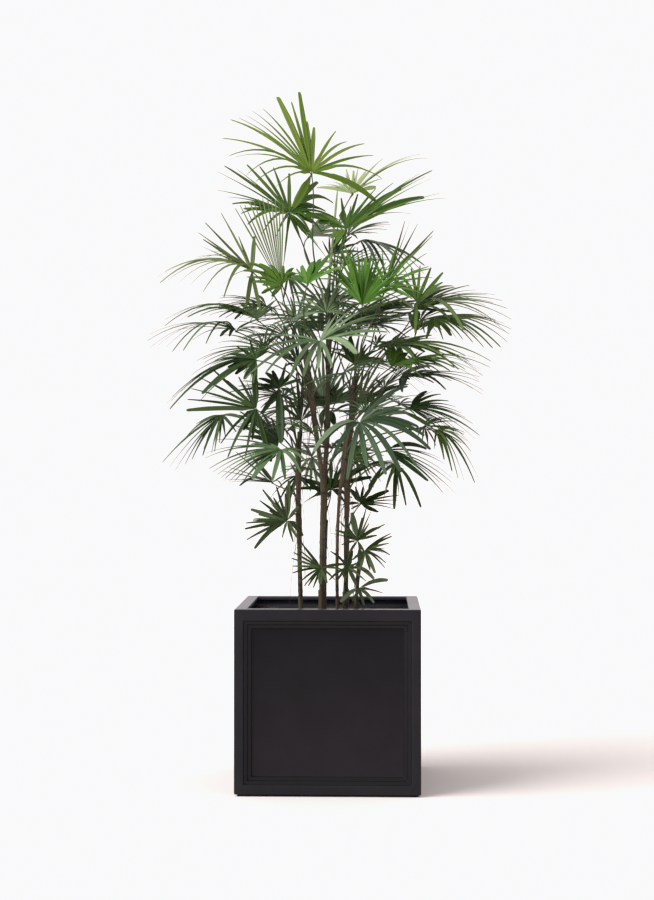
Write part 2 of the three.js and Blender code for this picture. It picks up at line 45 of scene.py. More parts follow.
MM = 0.001
POT_HALF = 190.0
POT_TOP = 380.0
FOOT_HALF = 184.0
FOOT_TOP = 4.0
EDGE_ROUND = 2.6
CORNER_TURNS = 5
RIM_INNER = 165.0
RIM_ROUND = 2.0
RIM_OUTER_LINE = 9.0
RIM_INNER_LINE = 8.0
LIP = 8.0
LIP_ROUND = 1.0
UNDERCUT_HALF = 177.0
UNDERCUT_LOW = 352.0
HOLLOW_HALF = 166.0
FLOOR_TOP = 14.0
FRAME_STILE = 19.5
FRAME_RAIL = 24.0
STEP_RUN = 7.7
STEP_DEPTH = 4.0
STEP_SOFT = 3.4
STEP_LINES = (-1.9, -1.3, -0.7, 0.0, 0.7, 1.3, 1.9)
PANEL_STEPS = 3
PANEL_LINES = 9
GROOVE_LINES = (-4.0, -2.4, -1.6)
GROOVE_PLACE = 1.6
GROOVE_WIDTH = 0.9
GROOVE_DEPTH = 0.35


def smooth(x):
    """Rises from 0 to 1 while x does, level at both ends: 3x² - 2x³."""
    x = np.clip(x, 0.0, 1.0)
    return x * x * (3.0 - 2.0 * x)


def tubes(number, rings, around, closed=False):
    """Faces of a number of equal tubes whose points follow each other ring by ring: the side faces between one
    ring and the next, also from the last to the first where the tube is closed, and two end faces for each."""
    size = rings * around
    low = np.arange(rings if closed else rings - 1)[:, None] * around
    high = (low + around) % size
    here = np.arange(around)
    after = (here + 1) % around
    sides = np.stack([low + here, low + after, high + after, high + here], -1)
    sides = (np.arange(number)[:, None, None] * size + sides.reshape(-1, 4)).reshape(-1, 4)
    return sides, [end + tube * size for tube in range(number) for end in (here[::-1], here + size - around)]


def put_mesh(name, points, quads, caps=(), materials=(), finish=None, uv=None):
    """A mesh of points in millimetres, faces with four corners, and flat end faces given as rows of corners.

    finish holds one material number for each face, and uv one pair of values for each corner of each face.
    """
    mesh = bpy.data.meshes.new(name)
    rows = [np.asarray(cap, np.int32).ravel() for cap in caps]
    corners = np.concatenate([np.asarray(quads, np.int32).ravel(), *rows])
    sizes = np.concatenate([np.full(len(quads), 4), [len(row) for row in rows]]).astype(np.int32)
    starts = np.concatenate([[0], np.cumsum(sizes)[:-1]]).astype(np.int32)
    mesh.vertices.add(len(points))
    mesh.vertices.foreach_set("co", (np.asarray(points, float) * MM).astype(np.float32).ravel())
    mesh.loops.add(len(corners))
    mesh.loops.foreach_set("vertex_index", corners)
    mesh.polygons.add(len(sizes))
    mesh.polygons.foreach_set("loop_start", starts)
    mesh.polygons.foreach_set("use_smooth", np.ones(len(sizes), bool))
    if finish is not None:
        mesh.polygons.foreach_set("material_index", np.asarray(finish, np.int32))
    if uv is not None:
        mesh.uv_layers.new(name="UVMap").data.foreach_set("uv", np.asarray(uv, np.float32).ravel())
    mesh.update(calc_edges=True)
    for material in materials:
        mesh.materials.append(material)
    piece = bpy.data.objects.new(name, mesh)
    bpy.context.scene.collection.objects.link(piece)
    return piece


def square_ring(half, along):
    """Points of a square with rounded corners: each side's places, given from -1 to 1, then a quarter turn."""
    reach = half - EDGE_ROUND
    turns = np.radians(np.linspace(-90.0, 0.0, CORNER_TURNS + 1)[1:-1])
    side = np.stack([along * reach, np.full_like(along, -half)], -1)
    bend = np.stack([reach + EDGE_ROUND * np.cos(turns), -reach + EDGE_ROUND * np.sin(turns)], -1)
    x, y = np.concatenate([side, bend]).T
    return np.concatenate([np.stack(quarter, -1) for quarter in ((x, y), (-y, x), (-x, -y), (y, -x))])


def panel_depth(across, height):
    """How far a side lies back: three equal soft steps, counted from the frame's inner edge inwards, and a fine
    groove in the frame just outside that edge, in the form of a bell curve."""
    inside = np.minimum(
        np.minimum(across + POT_HALF - FRAME_STILE, POT_HALF - FRAME_STILE - across),
        np.minimum(height - FRAME_RAIL, POT_TOP - FRAME_RAIL - height),
    )
    steps = [smooth((inside - STEP_RUN * step) / STEP_SOFT + 0.5) for step in range(PANEL_STEPS)]
    return STEP_DEPTH * sum(steps) + GROOVE_DEPTH * np.exp(-((inside + GROOVE_PLACE) / GROOVE_WIDTH) ** 2)


def step_lines(edge, far):
    """Places across a side that follow each soft step closely from one edge to the far one, and plain ones."""
    near = np.concatenate([edge + STEP_RUN * step + np.array(STEP_LINES) for step in range(PANEL_STEPS)])
    lead = edge + np.array(GROOVE_LINES)
    plain = np.linspace(edge + STEP_RUN * PANEL_STEPS, far - edge - STEP_RUN * PANEL_STEPS, PANEL_LINES)
    return np.unique(np.round(np.concatenate([lead, near, plain, far - near, far - lead]), 3))


reach = POT_HALF - EDGE_ROUND
side_places = step_lines(FRAME_STILE, 2.0 * POT_HALF) - POT_HALF
side_places = np.concatenate([[-reach], side_places, [reach]]) / reach
quarter_turn = np.radians(np.linspace(0.0, 90.0, 5))

# Rows of the profile: half width and height, from the foot's lower edge up, over the rim and down to the
# inner floor
outline = [(FOOT_HALF, 0.0), (FOOT_HALF, FOOT_TOP), (POT_HALF - EDGE_ROUND, FOOT_TOP)]
outline += [(POT_HALF - EDGE_ROUND * (1 - np.sin(a)), FOOT_TOP + EDGE_ROUND * (1 - np.cos(a)))
            for a in quarter_turn[1:]]
outline += [(POT_HALF, z) for z in step_lines(FRAME_RAIL, POT_TOP)]
outline += [(POT_HALF - EDGE_ROUND * (1 - np.cos(a)), POT_TOP - EDGE_ROUND * (1 - np.sin(a)))
            for a in quarter_turn]
outline += [(POT_HALF - RIM_OUTER_LINE, POT_TOP), (RIM_INNER + RIM_INNER_LINE, POT_TOP)]
outline += [(RIM_INNER + RIM_ROUND * (1 - np.sin(a)), POT_TOP - RIM_ROUND * (1 - np.cos(a)))
            for a in quarter_turn]
outline += [(RIM_INNER, POT_TOP - LIP + LIP_ROUND), (RIM_INNER + LIP_ROUND, POT_TOP - LIP)]
outline += [(UNDERCUT_HALF, POT_TOP - LIP), (UNDERCUT_HALF, UNDERCUT_LOW), (HOLLOW_HALF, UNDERCUT_LOW)]
outline += [(HOLLOW_HALF, FLOOR_TOP)]
outline = np.array(outline)

loops = []
for half, height in outline:
    ring = square_ring(half, side_places)
    if half == POT_HALF and FOOT_TOP + EDGE_ROUND < height < POT_TOP - EDGE_ROUND:
        for axis, sign in ((1, 1.0), (0, -1.0), (1, -1.0), (0, 1.0)):
            flat = np.abs(ring[:, axis] + sign * POT_HALF) < 1e-6
            ring[flat, axis] += sign * panel_depth(ring[flat, 1 - axis], height)
    loops.append(np.column_stack([ring, np.full(len(ring), height)]))
pot_corners = np.stack(loops)
pot_rows, around = pot_corners.shape[:2]


def add(tree, kind, sockets, **settings):
    """A new node. Each socket named takes a value, or is linked to the other node's output given for it."""
    node = tree.nodes.new("ShaderNode" + kind)
    for label, value in settings.items():
        setattr(node, label, value)
    for socket, value in sockets.items():
        if isinstance(value, bpy.types.NodeSocket):
            tree.links.new(value, node.inputs[socket])
        else:
            node.inputs[socket].default_value = value
    return node


def noise(tree, place, scale, detail, roughness=0.5):
    """Cloudy noise from 0 to 1, read at a place."""
    sockets = {"Vector": place, "Scale": scale, "Detail": detail, "Roughness": roughness}
    return add(tree, "TexNoise", sockets).outputs["Fac"]


def between(tree, value, low, high):
    """0 where the value is low or less, 1 where it is high or more, and even steps between."""
    return add(tree, "MapRange", {"Value": value, "From Min": low, "From Max": high}).outputs["Result"]


def spread(tree, value, low, high):
    """Low where the value is 0, high where it is 1, and even steps between."""
    return add(tree, "MapRange", {"Value": value, "To Min": low, "To Max": high}).outputs["Result"]


def blend(tree, share, first, second):
    """The first colour where the share is 0, the second where it is 1, and mixes between."""
    return add(tree, "Mix", {"Factor": share, "A": first, "B": second}, data_type="RGBA").outputs["Result"]


def relief(tree, height, strength, distance):
    """The normal of a surface that stands up with the height, by the distance in metres."""
    sockets = {"Height": height, "Strength": strength, "Distance": distance}
    return add(tree, "Bump", sockets).outputs["Normal"]


def object_place(tree):
    """The place on the object itself."""
    return add(tree, "TexCoord", {}).outputs["Object"]


def new_group(name, inputs, outputs):
    """An empty shader node group. inputs are names with their first values, and outputs names and kinds."""
    group = bpy.data.node_groups.new(name, "ShaderNodeTree")
    for label, value in inputs.items():
        kind = "NodeSocketFloat" if isinstance(value, float) else "NodeSocketColor"
        group.interface.new_socket(label, in_out="INPUT", socket_type=kind).default_value = value
    for label, kind in outputs.items():
        group.interface.new_socket(label, in_out="OUTPUT", socket_type="NodeSocket" + kind)
    return group, group.nodes.new("NodeGroupInput").outputs, group.nodes.new("NodeGroupOutput").inputs


def give(group, result, **outputs):
    """Links the output of a node inside a group to each of the group's outputs that is named."""
    for label, output in outputs.items():
        group.links.new(output, result[label])


MID_GREY = (0.5, 0.5, 0.5, 1.0)
SKIN_OUTPUTS = {"Colour": "Color", "Roughness": "Float", "Normal": "Vector"}
# The levels of a noise between which one colour turns into the other, and depths of a relief in metres
CLOUD_LEVELS = (0.35, 0.65)
GRAIN_DEPTH = 0.0006


def mottle_group():
    """Cast and weathered skin: one colour fades to another in soft clouds, with fine grain in the bump."""
    group, given, result = new_group("mottled_skin", {
        "Ground": MID_GREY, "Cloud": MID_GREY, "Cloud Scale": 20.0, "Grain Scale": 900.0, "Grain Height": 0.1,
        "Rough Low": 0.5, "Rough High": 0.7}, SKIN_OUTPUTS)
    place = object_place(group)
    clouds = noise(group, place, given["Cloud Scale"], 6.0, 0.6)
    grain = noise(group, place, given["Grain Scale"], 3.0)
    cloudy = between(group, clouds, *CLOUD_LEVELS)
    give(group, result, Colour=blend(group, cloudy, given["Ground"], given["Cloud"]),
         Roughness=spread(group, clouds, given["Rough Low"], given["Rough High"]),
         Normal=relief(group, grain, given["Grain Height"], GRAIN_DEPTH))
    return group


def principled(name):
    """A new material with its Principled shader."""
    material = bpy.data.materials.new(name)
    material.use_nodes = True
    shader = next(node for node in material.node_tree.nodes if node.type == "BSDF_PRINCIPLED")
    return material, shader


def place_group(material, shader, group, values):
    """Puts a group in a material with its own values, and links its outputs to the shader's sockets."""
    node = material.node_tree.nodes.new("ShaderNodeGroup")
    node.node_tree = group
    for label, value in values.items():
        node.inputs[label].default_value = value if isinstance(value, float) else (*value, 1.0)
    for output in node.outputs:
        socket = "Base Color" if output.name == "Colour" else output.name
        material.node_tree.links.new(output, shader.inputs[socket])
    return node


MOTTLED = mottle_group()


def mottled(name, ground, cloud, clouds, grain, height, rough):
    """A material of mottled skin, with its shader and its group. clouds and grain say how fine those are,
    height how strong the grain stands up, and rough holds the least and the most roughness."""
    material, shader = principled(name)
    group = place_group(material, shader, MOTTLED, {
        "Ground": ground, "Cloud": cloud, "Cloud Scale": clouds, "Grain Scale": grain, "Grain Height": height,
        "Rough Low": rough[0], "Rough High": rough[1]})
    return material, shader, group


PAINT_ROUGHER = 0.12
COAT_ROUGHNESS = 0.18


def charcoal_paint(name, ground, cloud, sheen, rough, coat=0.0):
    """The planter's charcoal paint, duller or glossier from part to part, and darker or paler from part to part
    as painted light and shade.
    """
    material, shader, group = mottled(name, ground, cloud, clouds=14.0, grain=1100.0, height=0.18,
                                      rough=(rough, rough + PAINT_ROUGHER))
    shader.inputs["Specular IOR Level"].default_value = sheen
    shader.inputs["Coat Weight"].default_value = coat
    shader.inputs["Coat Roughness"].default_value = COAT_ROUGHNESS
    return material, group


# Painted light and shade: the frame is painted paler than the recessed panel, and the steps darkest, as painted
# shade in the recess and its mouldings
frame_paint, _ = charcoal_paint(
    "charcoal_frame", (0.0118, 0.0107, 0.0142), (0.0154, 0.0139, 0.0178), sheen=0.15, rough=0.5)
step_paint, _ = charcoal_paint(
    "charcoal_steps", (0.0050, 0.0040, 0.0052), (0.0066, 0.0054, 0.0068), sheen=0.21, rough=0.4)
panel_paint, panel_group = charcoal_paint(
    "charcoal_panel", (0.0065, 0.0058, 0.0072), (0.0085, 0.0078, 0.0092), sheen=0.12, rough=0.5)
# Painted light: the rim's top is painted much paler, as a painted highlight, and the inside paler and bluer
# than the outside, as painted light on the inner wall
rim_paint, _ = charcoal_paint(
    "charcoal_rim", (0.040, 0.027, 0.050), (0.050, 0.035, 0.062), sheen=0.4, rough=0.3, coat=0.48)
inner_paint, _ = charcoal_paint(
    "charcoal_inside", (0.036, 0.040, 0.058), (0.044, 0.048, 0.068), sheen=0.5, rough=0.4)

# The panel is painted a little paler toward the foot: painted light, bounced up from the floor
BOUNCE_FROM = 0.33
BOUNCE_FULL = 0.03
BOUNCE_LIT_GROUND, UPPER_GROUND = (0.0150, 0.0122, 0.0150, 1.0), (0.0055, 0.0052, 0.0068, 1.0)
BOUNCE_LIT_CLOUD, UPPER_CLOUD = (0.0180, 0.0148, 0.0178, 1.0), (0.0072, 0.0068, 0.0086, 1.0)
tree = panel_paint.node_tree
split = add(tree, "SeparateXYZ", {"Vector": object_place(tree)})
rise = between(tree, split.outputs["Z"], BOUNCE_FULL, BOUNCE_FROM)
for socket, low, high in (("Ground", BOUNCE_LIT_GROUND, UPPER_GROUND), ("Cloud", BOUNCE_LIT_CLOUD, UPPER_CLOUD)):
    tree.links.new(blend(tree, rise, low, high), panel_group.inputs[socket])

# Each row of faces has its paint, which carries that part's painted light and shade: the frame, the rim on top
# and all that follows inside it. On the walls the steps and the panel have theirs by how far a face is in from
# the frame's edge.
FRAME, STEPS, PANEL, RIM, INSIDE = range(5)
RIM_BAND = 0.8
FRAME_OVER = 0.6
PANEL_IN = 1.0
row_low = np.minimum(outline[:-1, 1], outline[1:, 1])
row_paint = np.where(row_low > POT_TOP - RIM_BAND, RIM, FRAME)
row_paint[np.flatnonzero(row_paint == RIM)[-1] + 1:] = INSIDE
pot_finish = np.repeat(row_paint, around).reshape(pot_rows - 1, around)
beside = np.roll(pot_corners, -1, axis=1)
middle = 0.25 * (pot_corners[:-1] + pot_corners[1:] + beside[:-1] + beside[1:])
wide = np.sort(np.abs(middle[..., :2]), axis=-1)
inward = np.minimum(POT_HALF - wide[..., 0] - FRAME_STILE,
                    np.minimum(middle[..., 2], POT_TOP - middle[..., 2]) - FRAME_RAIL)
wall = wide[..., 1] > POT_HALF - STEP_DEPTH * PANEL_STEPS - PANEL_IN
on_panel = (pot_finish == FRAME) & wall & (inward > -FRAME_OVER)
pot_finish[on_panel] = np.where(inward[on_panel] < STEP_RUN * (PANEL_STEPS - 1) + PANEL_IN, STEPS, PANEL)
pot_sides, pot_ends = tubes(1, pot_rows, around)
planter = put_mesh("planter", pot_corners.reshape(-1, 3), pot_sides, pot_ends,
                   [frame_paint, step_paint, panel_paint, rim_paint, inner_paint],
                   np.concatenate([pot_finish.reshape(-1), [FRAME, FRAME]]))
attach(planter, "root")
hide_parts("pot")

# ------------------------------------------------------------------------------
# The planter is filled with a dark bark and peat mix. Its top is an uneven bed that has sunk a little from
# the rim. Under the top it is one block down to the planter's floor.

SOIL_TOP = 355.5
SOIL_HALF = 176.6
SOIL_GRID = 150
SOIL_EDGE = 353.0
SOIL_GAP = 0.4
SOIL_WAVES = 26
WAVE_LONGEST = 150.0
WAVE_SHORTER = 0.84
WAVE_HEIGHT = 0.030
WAVE_POWER = 0.72
SEED = 11


def bed_height(x, y, seed):
    """The bed's height: a sum of sine waves in all directions, each finer one lower than the one before."""
    random = np.random.default_rng(seed)
    height = np.zeros_like(x)
    for wave in range(SOIL_WAVES):
        turn = random.uniform(0.0, 2.0 * np.pi)
        length = WAVE_LONGEST * WAVE_SHORTER ** wave
        phase = random.uniform(0.0, 2.0 * np.pi)
        height += WAVE_HEIGHT * length ** WAVE_POWER * np.sin(
            2.0 * np.pi * (x * np.cos(turn) + y * np.sin(turn)) / length + phase)
    return height


places = np.linspace(-SOIL_HALF, SOIL_HALF, SOIL_GRID)
grid_x, grid_y = np.meshgrid(places, places)
bed = SOIL_TOP + bed_height(grid_x, grid_y, SEED)
bed_points = np.stack([grid_x, grid_y, bed], -1).reshape(-1, 3)
row = np.arange(SOIL_GRID - 1)
low = (row[:, None] * SOIL_GRID + row[None, :]).reshape(-1)
bed_faces = np.stack([low, low + 1, low + SOIL_GRID + 1, low + SOIL_GRID], -1)
edge = np.concatenate([row, row * SOIL_GRID + SOIL_GRID - 1, SOIL_GRID * SOIL_GRID - 1 - row,
                       (SOIL_GRID - 1 - row) * SOIL_GRID])
block_points, block_faces = [bed_points], [bed_faces]
above = edge
for half, height in ((SOIL_HALF, SOIL_EDGE), (HOLLOW_HALF - SOIL_GAP, SOIL_EDGE),
                     (HOLLOW_HALF - SOIL_GAP, FLOOR_TOP + SOIL_GAP)):
    below = np.arange(len(edge)) + sum(len(part) for part in block_points)
    spot = bed_points[edge] * [half / SOIL_HALF, half / SOIL_HALF, 0.0] + [0.0, 0.0, height]
    block_points.append(spot)
    block_faces.append(np.stack([below, np.roll(below, -1), np.roll(above, -1), above], -1))
    above = below

mix, _, _ = mottled("bark_mix", (0.012, 0.009, 0.008), (0.038, 0.026, 0.019), clouds=160.0, grain=700.0,
                    height=0.8, rough=(0.85, 1.0))
bed_piece = put_mesh("potting_mix", np.concatenate(block_points), np.concatenate(block_faces), [above[::-1]],
                     [mix])
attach(bed_piece, "root")
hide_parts("soil")

# ------------------------------------------------------------------------------
# Loose crumbs of bark lie on the potting mix, as they were spread over it by hand. A crumb is a rough lump:
# three rings of six points between two flat ends, pulled about at random and pressed a little into the bed.

CRUMBS = 1100
CRUMB_SIZE = (1.6, 4.6)
CRUMB_LEAST = 0.45
CRUMB_ROUGH = (0.75, 1.25)
CRUMB_RINGS = ((0.7, -0.7), (1.0, 0.0), (0.65, 0.7))
CRUMB_FLAT = 0.6
CRUMB_LIFT = 0.4
CRUMB_MARGIN = 5.0

random = np.random.default_rng(SEED + 1)
turns = np.arange(6) * np.pi / 3.0
lump = np.array([[np.cos(t) * r, np.sin(t) * r, h] for r, h in CRUMB_RINGS for t in turns])
spots = random.uniform(-SOIL_HALF + CRUMB_MARGIN, SOIL_HALF - CRUMB_MARGIN, (CRUMBS, 2))
sizes = random.uniform(*CRUMB_SIZE, (CRUMBS, 1, 1)) * random.uniform(CRUMB_LEAST, 1.0, (CRUMBS, 1, 3))
shaped = lump[None] * sizes * random.uniform(*CRUMB_ROUGH, (CRUMBS, len(lump), 3))
spin = random.uniform(0.0, 2.0 * np.pi, (CRUMBS, 1))
turned = np.stack([
    shaped[..., 0] * np.cos(spin) - shaped[..., 1] * np.sin(spin),
    shaped[..., 0] * np.sin(spin) + shaped[..., 1] * np.cos(spin), shaped[..., 2] * CRUMB_FLAT], -1)
rest = SOIL_TOP + bed_height(spots[:, 0], spots[:, 1], SEED) + CRUMB_LIFT
turned += np.column_stack([spots, rest])[:, None, :]
bark, _, _ = mottled("bark_crumbs", (0.020, 0.014, 0.011), (0.060, 0.040, 0.027), clouds=60.0, grain=500.0,
                     height=0.6, rough=(0.8, 1.0))
crumbs = put_mesh("bark_crumbs", turned.reshape(-1, 3), *tubes(CRUMBS, len(CRUMB_RINGS), len(turns)), [bark])
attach(crumbs, "root")

# ------------------------------------------------------------------------------
# Six slender canes stand in the mix. Each is ringed where an old frond has left it, wrapped higher up in
# coarse brown leaf fibre, and green-brown where the fibre has come away. They taper and lean a little.

# Radius at the foot and at the top, and places along the middle line
CANES = {
    "a": (5.2, 4.0, [(-62, 0, 357), (-65, 3, 470), (-67, 6, 575), (-68, 8, 675), (-66, 6, 745)]),
    "b": (5.6, 4.4, [(-17, -25, 357), (-16, -28, 515), (-15, -30, 635), (-29, -34, 745), (-40, -38, 830),
                     (-48, -40, 890), (-51, -42, 945)]),
    "c": (5.8, 4.4, [(-14, 25, 357), (-13, 28, 510), (-12, 30, 640), (-8, 30, 725), (-5, 26, 875),
                     (-3, 22, 985), (-4, 18, 1055)]),
    "d": (3.7, 3.0, [(17, -40, 357), (16, -44, 470), (20, -48, 590), (27, -50, 650), (33, -52, 715),
                     (39, -54, 770)]),
    "e": (5.2, 4.0, [(33, 12, 357), (35, 14, 505), (36, 16, 600), (37, 16, 685), (44, 14, 755),
                     (48, 12, 815), (51, 10, 860)]),
    "f": (3.5, 2.8, [(56, -35, 357), (59, -38, 425), (64, -40, 470), (64, -42, 505)]),
}
CANE_FOOT = 353.5
CANE_STEP = 2.5
CANE_AROUND = 28
CANE_TIP = 1.5
CANE_TIP_SHARE = 0.35
LINE_POINTS = 400
FIRST_JOINT = 12.0
MOST_JOINTS = 40
JOINT_GAP = (30.0, 46.0)
JOINT_SWELL, SWELL_REACH = 0.10, 2.6
JOINT_DIP, DIP_BELOW, DIP_REACH = 0.05, 6.0, 3.0
WANDER_SLOW, WANDER_FAST = 0.021, 0.063
FIBRE_RIDGES = ((7, 1.3), (12, -2.1))
FIBRE_BARE, FIBRE_WRAPPED = 0.10, 0.14
WRAPPED_FROM, WRAPPED_WITHIN = 480.0, 150.0


def through(places, shares):
    """Points of a smooth line through the places: between two of them a cubic leaves each one parallel to the
    chord of its neighbours, and the ends go on straight."""
    p = np.asarray(places, float)
    p = np.concatenate([[2 * p[0] - p[1]], p, [2 * p[-1] - p[-2]]])
    span = np.clip(np.asarray(shares) * (len(places) - 1), 0.0, len(places) - 1 - 1e-9)
    k = span.astype(int)
    t = (span - k)[:, None]
    before, here, after, beyond = p[k], p[k + 1], p[k + 2], p[k + 3]
    leave, arrive = 0.5 * (after - before), 0.5 * (beyond - here)
    return (here * (2 * t ** 3 - 3 * t ** 2 + 1) + leave * (t ** 3 - 2 * t ** 2 + t)
            + after * (3 * t ** 2 - 2 * t ** 3) + arrive * (t ** 3 - t ** 2))


def cane_at(name, heights):
    """Middle and radius of a cane at heights: its line read off by height, and an even taper."""
    foot_radius, top_radius, places = CANES[name]
    line = through(places, np.linspace(0.0, 1.0, LINE_POINTS))
    heights = np.asarray(heights, float)
    x = np.interp(heights, line[:, 2], line[:, 0])
    y = np.interp(heights, line[:, 2], line[:, 1])
    radius = np.interp(heights, [places[0][2], places[-1][2]], [foot_radius, top_radius])
    return np.stack([x, y, heights], -1), radius


def tube_uv(number, along, around):
    """A place for each corner of the faces of equal tubes: how far round its ring it is, from 0 to 1, and the
    ring's own measure along the tube. The end faces have none."""
    column = np.tile(np.arange(around), len(along) - 1)
    low, high = np.repeat(along[:-1], around), np.repeat(along[1:], around)
    sides = np.stack([np.stack([column, column + 1, column + 1, column], -1) / around,
                      np.stack([low, low, high, high], -1)], -1).reshape(-1, 2)
    return np.concatenate([np.tile(sides, (number, 1)), np.zeros((number * 2 * around, 2))])


def upright(middle, reach, turn, heights):
    """Rings round an upright line: a point at the reach from its middle in each direction, at a height."""
    return np.stack([middle[..., 0] + reach * np.cos(turn), middle[..., 1] + reach * np.sin(turn),
                     np.broadcast_to(heights, reach.shape)], -1)


def cane_mesh(name, seed):
    """A tube whose radius swells at each joint and dips below it, as bell curves, with fibres as sine ridges
    that wander round it and grow where the cane is wrapped."""
    random = np.random.default_rng(seed)
    top = CANES[name][2][-1][2]
    heights = np.append(np.arange(CANE_FOOT, top - CANE_TIP, CANE_STEP), [top - CANE_TIP, top])
    middle, radius = cane_at(name, heights)
    joints = CANE_FOOT + FIRST_JOINT + np.cumsum(random.uniform(*JOINT_GAP, MOST_JOINTS))
    away = heights[:, None] - joints[None, :]
    swell = (JOINT_SWELL * np.exp(-(away / SWELL_REACH) ** 2)
             - JOINT_DIP * np.exp(-((away + DIP_BELOW) / DIP_REACH) ** 2)).sum(1)
    turn = np.arange(CANE_AROUND) * 2.0 * np.pi / CANE_AROUND
    wander = np.sin(heights * WANDER_SLOW + seed) + 0.5 * np.sin(heights * WANDER_FAST + 2.0 * seed)
    fibre = sum(0.5 * np.sin(ridges * turn[None, :] + shift * wander[:, None] + number * seed)
                for number, (ridges, shift) in enumerate(FIBRE_RIDGES))
    fibre *= FIBRE_BARE + FIBRE_WRAPPED * smooth((heights[:, None] - WRAPPED_FROM) / WRAPPED_WITHIN)
    ring = radius[:, None] * (1.0 + swell[:, None]) + fibre
    ring[-1] *= CANE_TIP_SHARE
    points = upright(middle[:, None], ring, turn, heights[:, None]).reshape(-1, 3)
    return points, *tubes(1, len(heights), CANE_AROUND), tube_uv(1, heights * MM, CANE_AROUND)


# Streaks, rings and patches to the metre, the levels of their noise, and the fibre's relief
STREAKS_PER_METRE, RINGS_PER_METRE, PATCHES_PER_METRE = 18.0, 110.0, 22.0
STREAK_LEVELS, PATCH_LEVELS, RING_LEVELS = (0.36, 0.64), (0.48, 0.66), (0.58, 0.66)
FIBRE_ROUGH, FIBRE_DEPTH = (0.5, 0.85), 0.0009


def times(tree, value, factor):
    """The value times the factor."""
    return add(tree, "Math", {0: value, 1: factor}, operation="MULTIPLY").outputs["Value"]


def fibre_group():
    """Cane and sheath: long streaks along the UV map's second direction, with patches of the band's colour and
    narrow dark rings."""
    group, given, result = new_group("cane_fibre", {
        "Streak Dark": MID_GREY, "Streak Pale": MID_GREY, "Band": MID_GREY, "Ring": MID_GREY, "Streaks": 14.0,
        "Relief": 0.5}, SKIN_OUTPUTS)
    split = add(group, "SeparateXYZ", {"Vector": add(group, "UVMap", {}).outputs["UV"]}).outputs
    stretch = add(group, "CombineXYZ", {"X": times(group, split["X"], given["Streaks"]),
                                        "Y": times(group, split["Y"], STREAKS_PER_METRE)})
    level = add(group, "CombineXYZ", {"X": split["X"], "Y": times(group, split["Y"], RINGS_PER_METRE)})
    streaks = noise(group, stretch.outputs["Vector"], 1.0, 5.0, 0.65)
    patches = noise(group, object_place(group), PATCHES_PER_METRE, 4.0)
    rings = noise(group, level.outputs["Vector"], 1.0, 1.0)
    colour = blend(group, between(group, streaks, *STREAK_LEVELS), given["Streak Dark"], given["Streak Pale"])
    colour = blend(group, between(group, patches, *PATCH_LEVELS), colour, given["Band"])
    colour = blend(group, between(group, rings, *RING_LEVELS), colour, given["Ring"])
    give(group, result, Colour=colour, Roughness=spread(group, streaks, *FIBRE_ROUGH),
         Normal=relief(group, streaks, given["Relief"], FIBRE_DEPTH))
    return group


FIBRE = fibre_group()


def fibrous(name, dark, pale, band, ring, streaks, height):
    """A material of leaf fibre or bare cane, with so many streaks round it, which stand up so strongly."""
    material, shader = principled(name)
    place_group(material, shader, FIBRE, {"Streak Dark": dark, "Streak Pale": pale, "Band": band, "Ring": ring,
                                          "Streaks": streaks, "Relief": height})
    return material


# Dark streaks, pale streaks and bare green-brown patches of each cane
CANE_COLOURS = {
    "a": ((0.018, 0.020, 0.008), (0.086, 0.074, 0.028), (0.042, 0.056, 0.017)),
    "b": ((0.021, 0.016, 0.008), (0.104, 0.072, 0.029), (0.060, 0.064, 0.018)),
    "c": ((0.017, 0.015, 0.007), (0.084, 0.062, 0.027), (0.046, 0.052, 0.016)),
    "d": ((0.026, 0.014, 0.008), (0.106, 0.060, 0.028), (0.060, 0.044, 0.018)),
    "e": ((0.015, 0.016, 0.006), (0.068, 0.058, 0.024), (0.034, 0.046, 0.014)),
    "f": ((0.024, 0.028, 0.010), (0.090, 0.086, 0.036), (0.048, 0.068, 0.018)),
}
CANE_RING = (0.012, 0.009, 0.006)
for number, (name, colours) in enumerate(CANE_COLOURS.items()):
    skin = fibrous(f"cane_skin_{name}", *colours, CANE_RING, streaks=9.0, height=0.7)
    points, quads, caps, uv = cane_mesh(name, number + 1)
    stem = put_mesh(f"stem_{name}", points, quads, caps, [skin], uv=uv)
    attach(stem, "root")
    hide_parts(f"cane_{name}")

# ------------------------------------------------------------------------------
# The unopened leaf on the tallest cane is still folded shut, like a closed fan: a slim pale yellow-green rod
# with a groove for each fold, swelling a little below its pointed tip.

SPEAR_FOOT = (-4.0, 18.0, 1055.3)
SPEAR_TIP = (16.0, 14.0, 1266.0)
SPEAR_RADII = ((0.0, 3.0), (0.35, 2.6), (0.6, 1.9), (0.82, 2.3), (0.97, 1.1), (1.0, 0.4))
SPEAR_FOLDS = 7
SPEAR_TURN = 2.0
FOLD_DEPTH = 0.10
SPEAR_ROWS = 60
SPEAR_AROUND = 42

share = np.linspace(0.0, 1.0, SPEAR_ROWS)
line = np.asarray(SPEAR_FOOT) + share[:, None] * (np.asarray(SPEAR_TIP) - SPEAR_FOOT)
turn = np.arange(SPEAR_AROUND) * 2.0 * np.pi / SPEAR_AROUND
folds = 1.0 + FOLD_DEPTH * np.cos(SPEAR_FOLDS * turn + SPEAR_TURN * share[:, None])
radius = np.interp(share, *zip(*SPEAR_RADII))[:, None] * folds
spear_points = upright(line[:, None], radius, turn, line[:, None, 2]).reshape(-1, 3)
pale_leaf, _, _ = mottled("folded_leaf", (0.205, 0.265, 0.105), (0.330, 0.370, 0.185), clouds=35.0, grain=300.0,
                          height=0.1, rough=(0.4, 0.6))
folded = put_mesh("unopened_leaf", spear_points, *tubes(1, SPEAR_ROWS, SPEAR_AROUND), [pale_leaf])
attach(folded, "root")
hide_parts("spear_c")

# ------------------------------------------------------------------------------
# Each frond is one green leaf, cut nearly to its hub into narrow folded fingers, and a thin stalk holds it out
# from its cane. The rows say where each hub is and how its fan lies, and chance varies every finger.

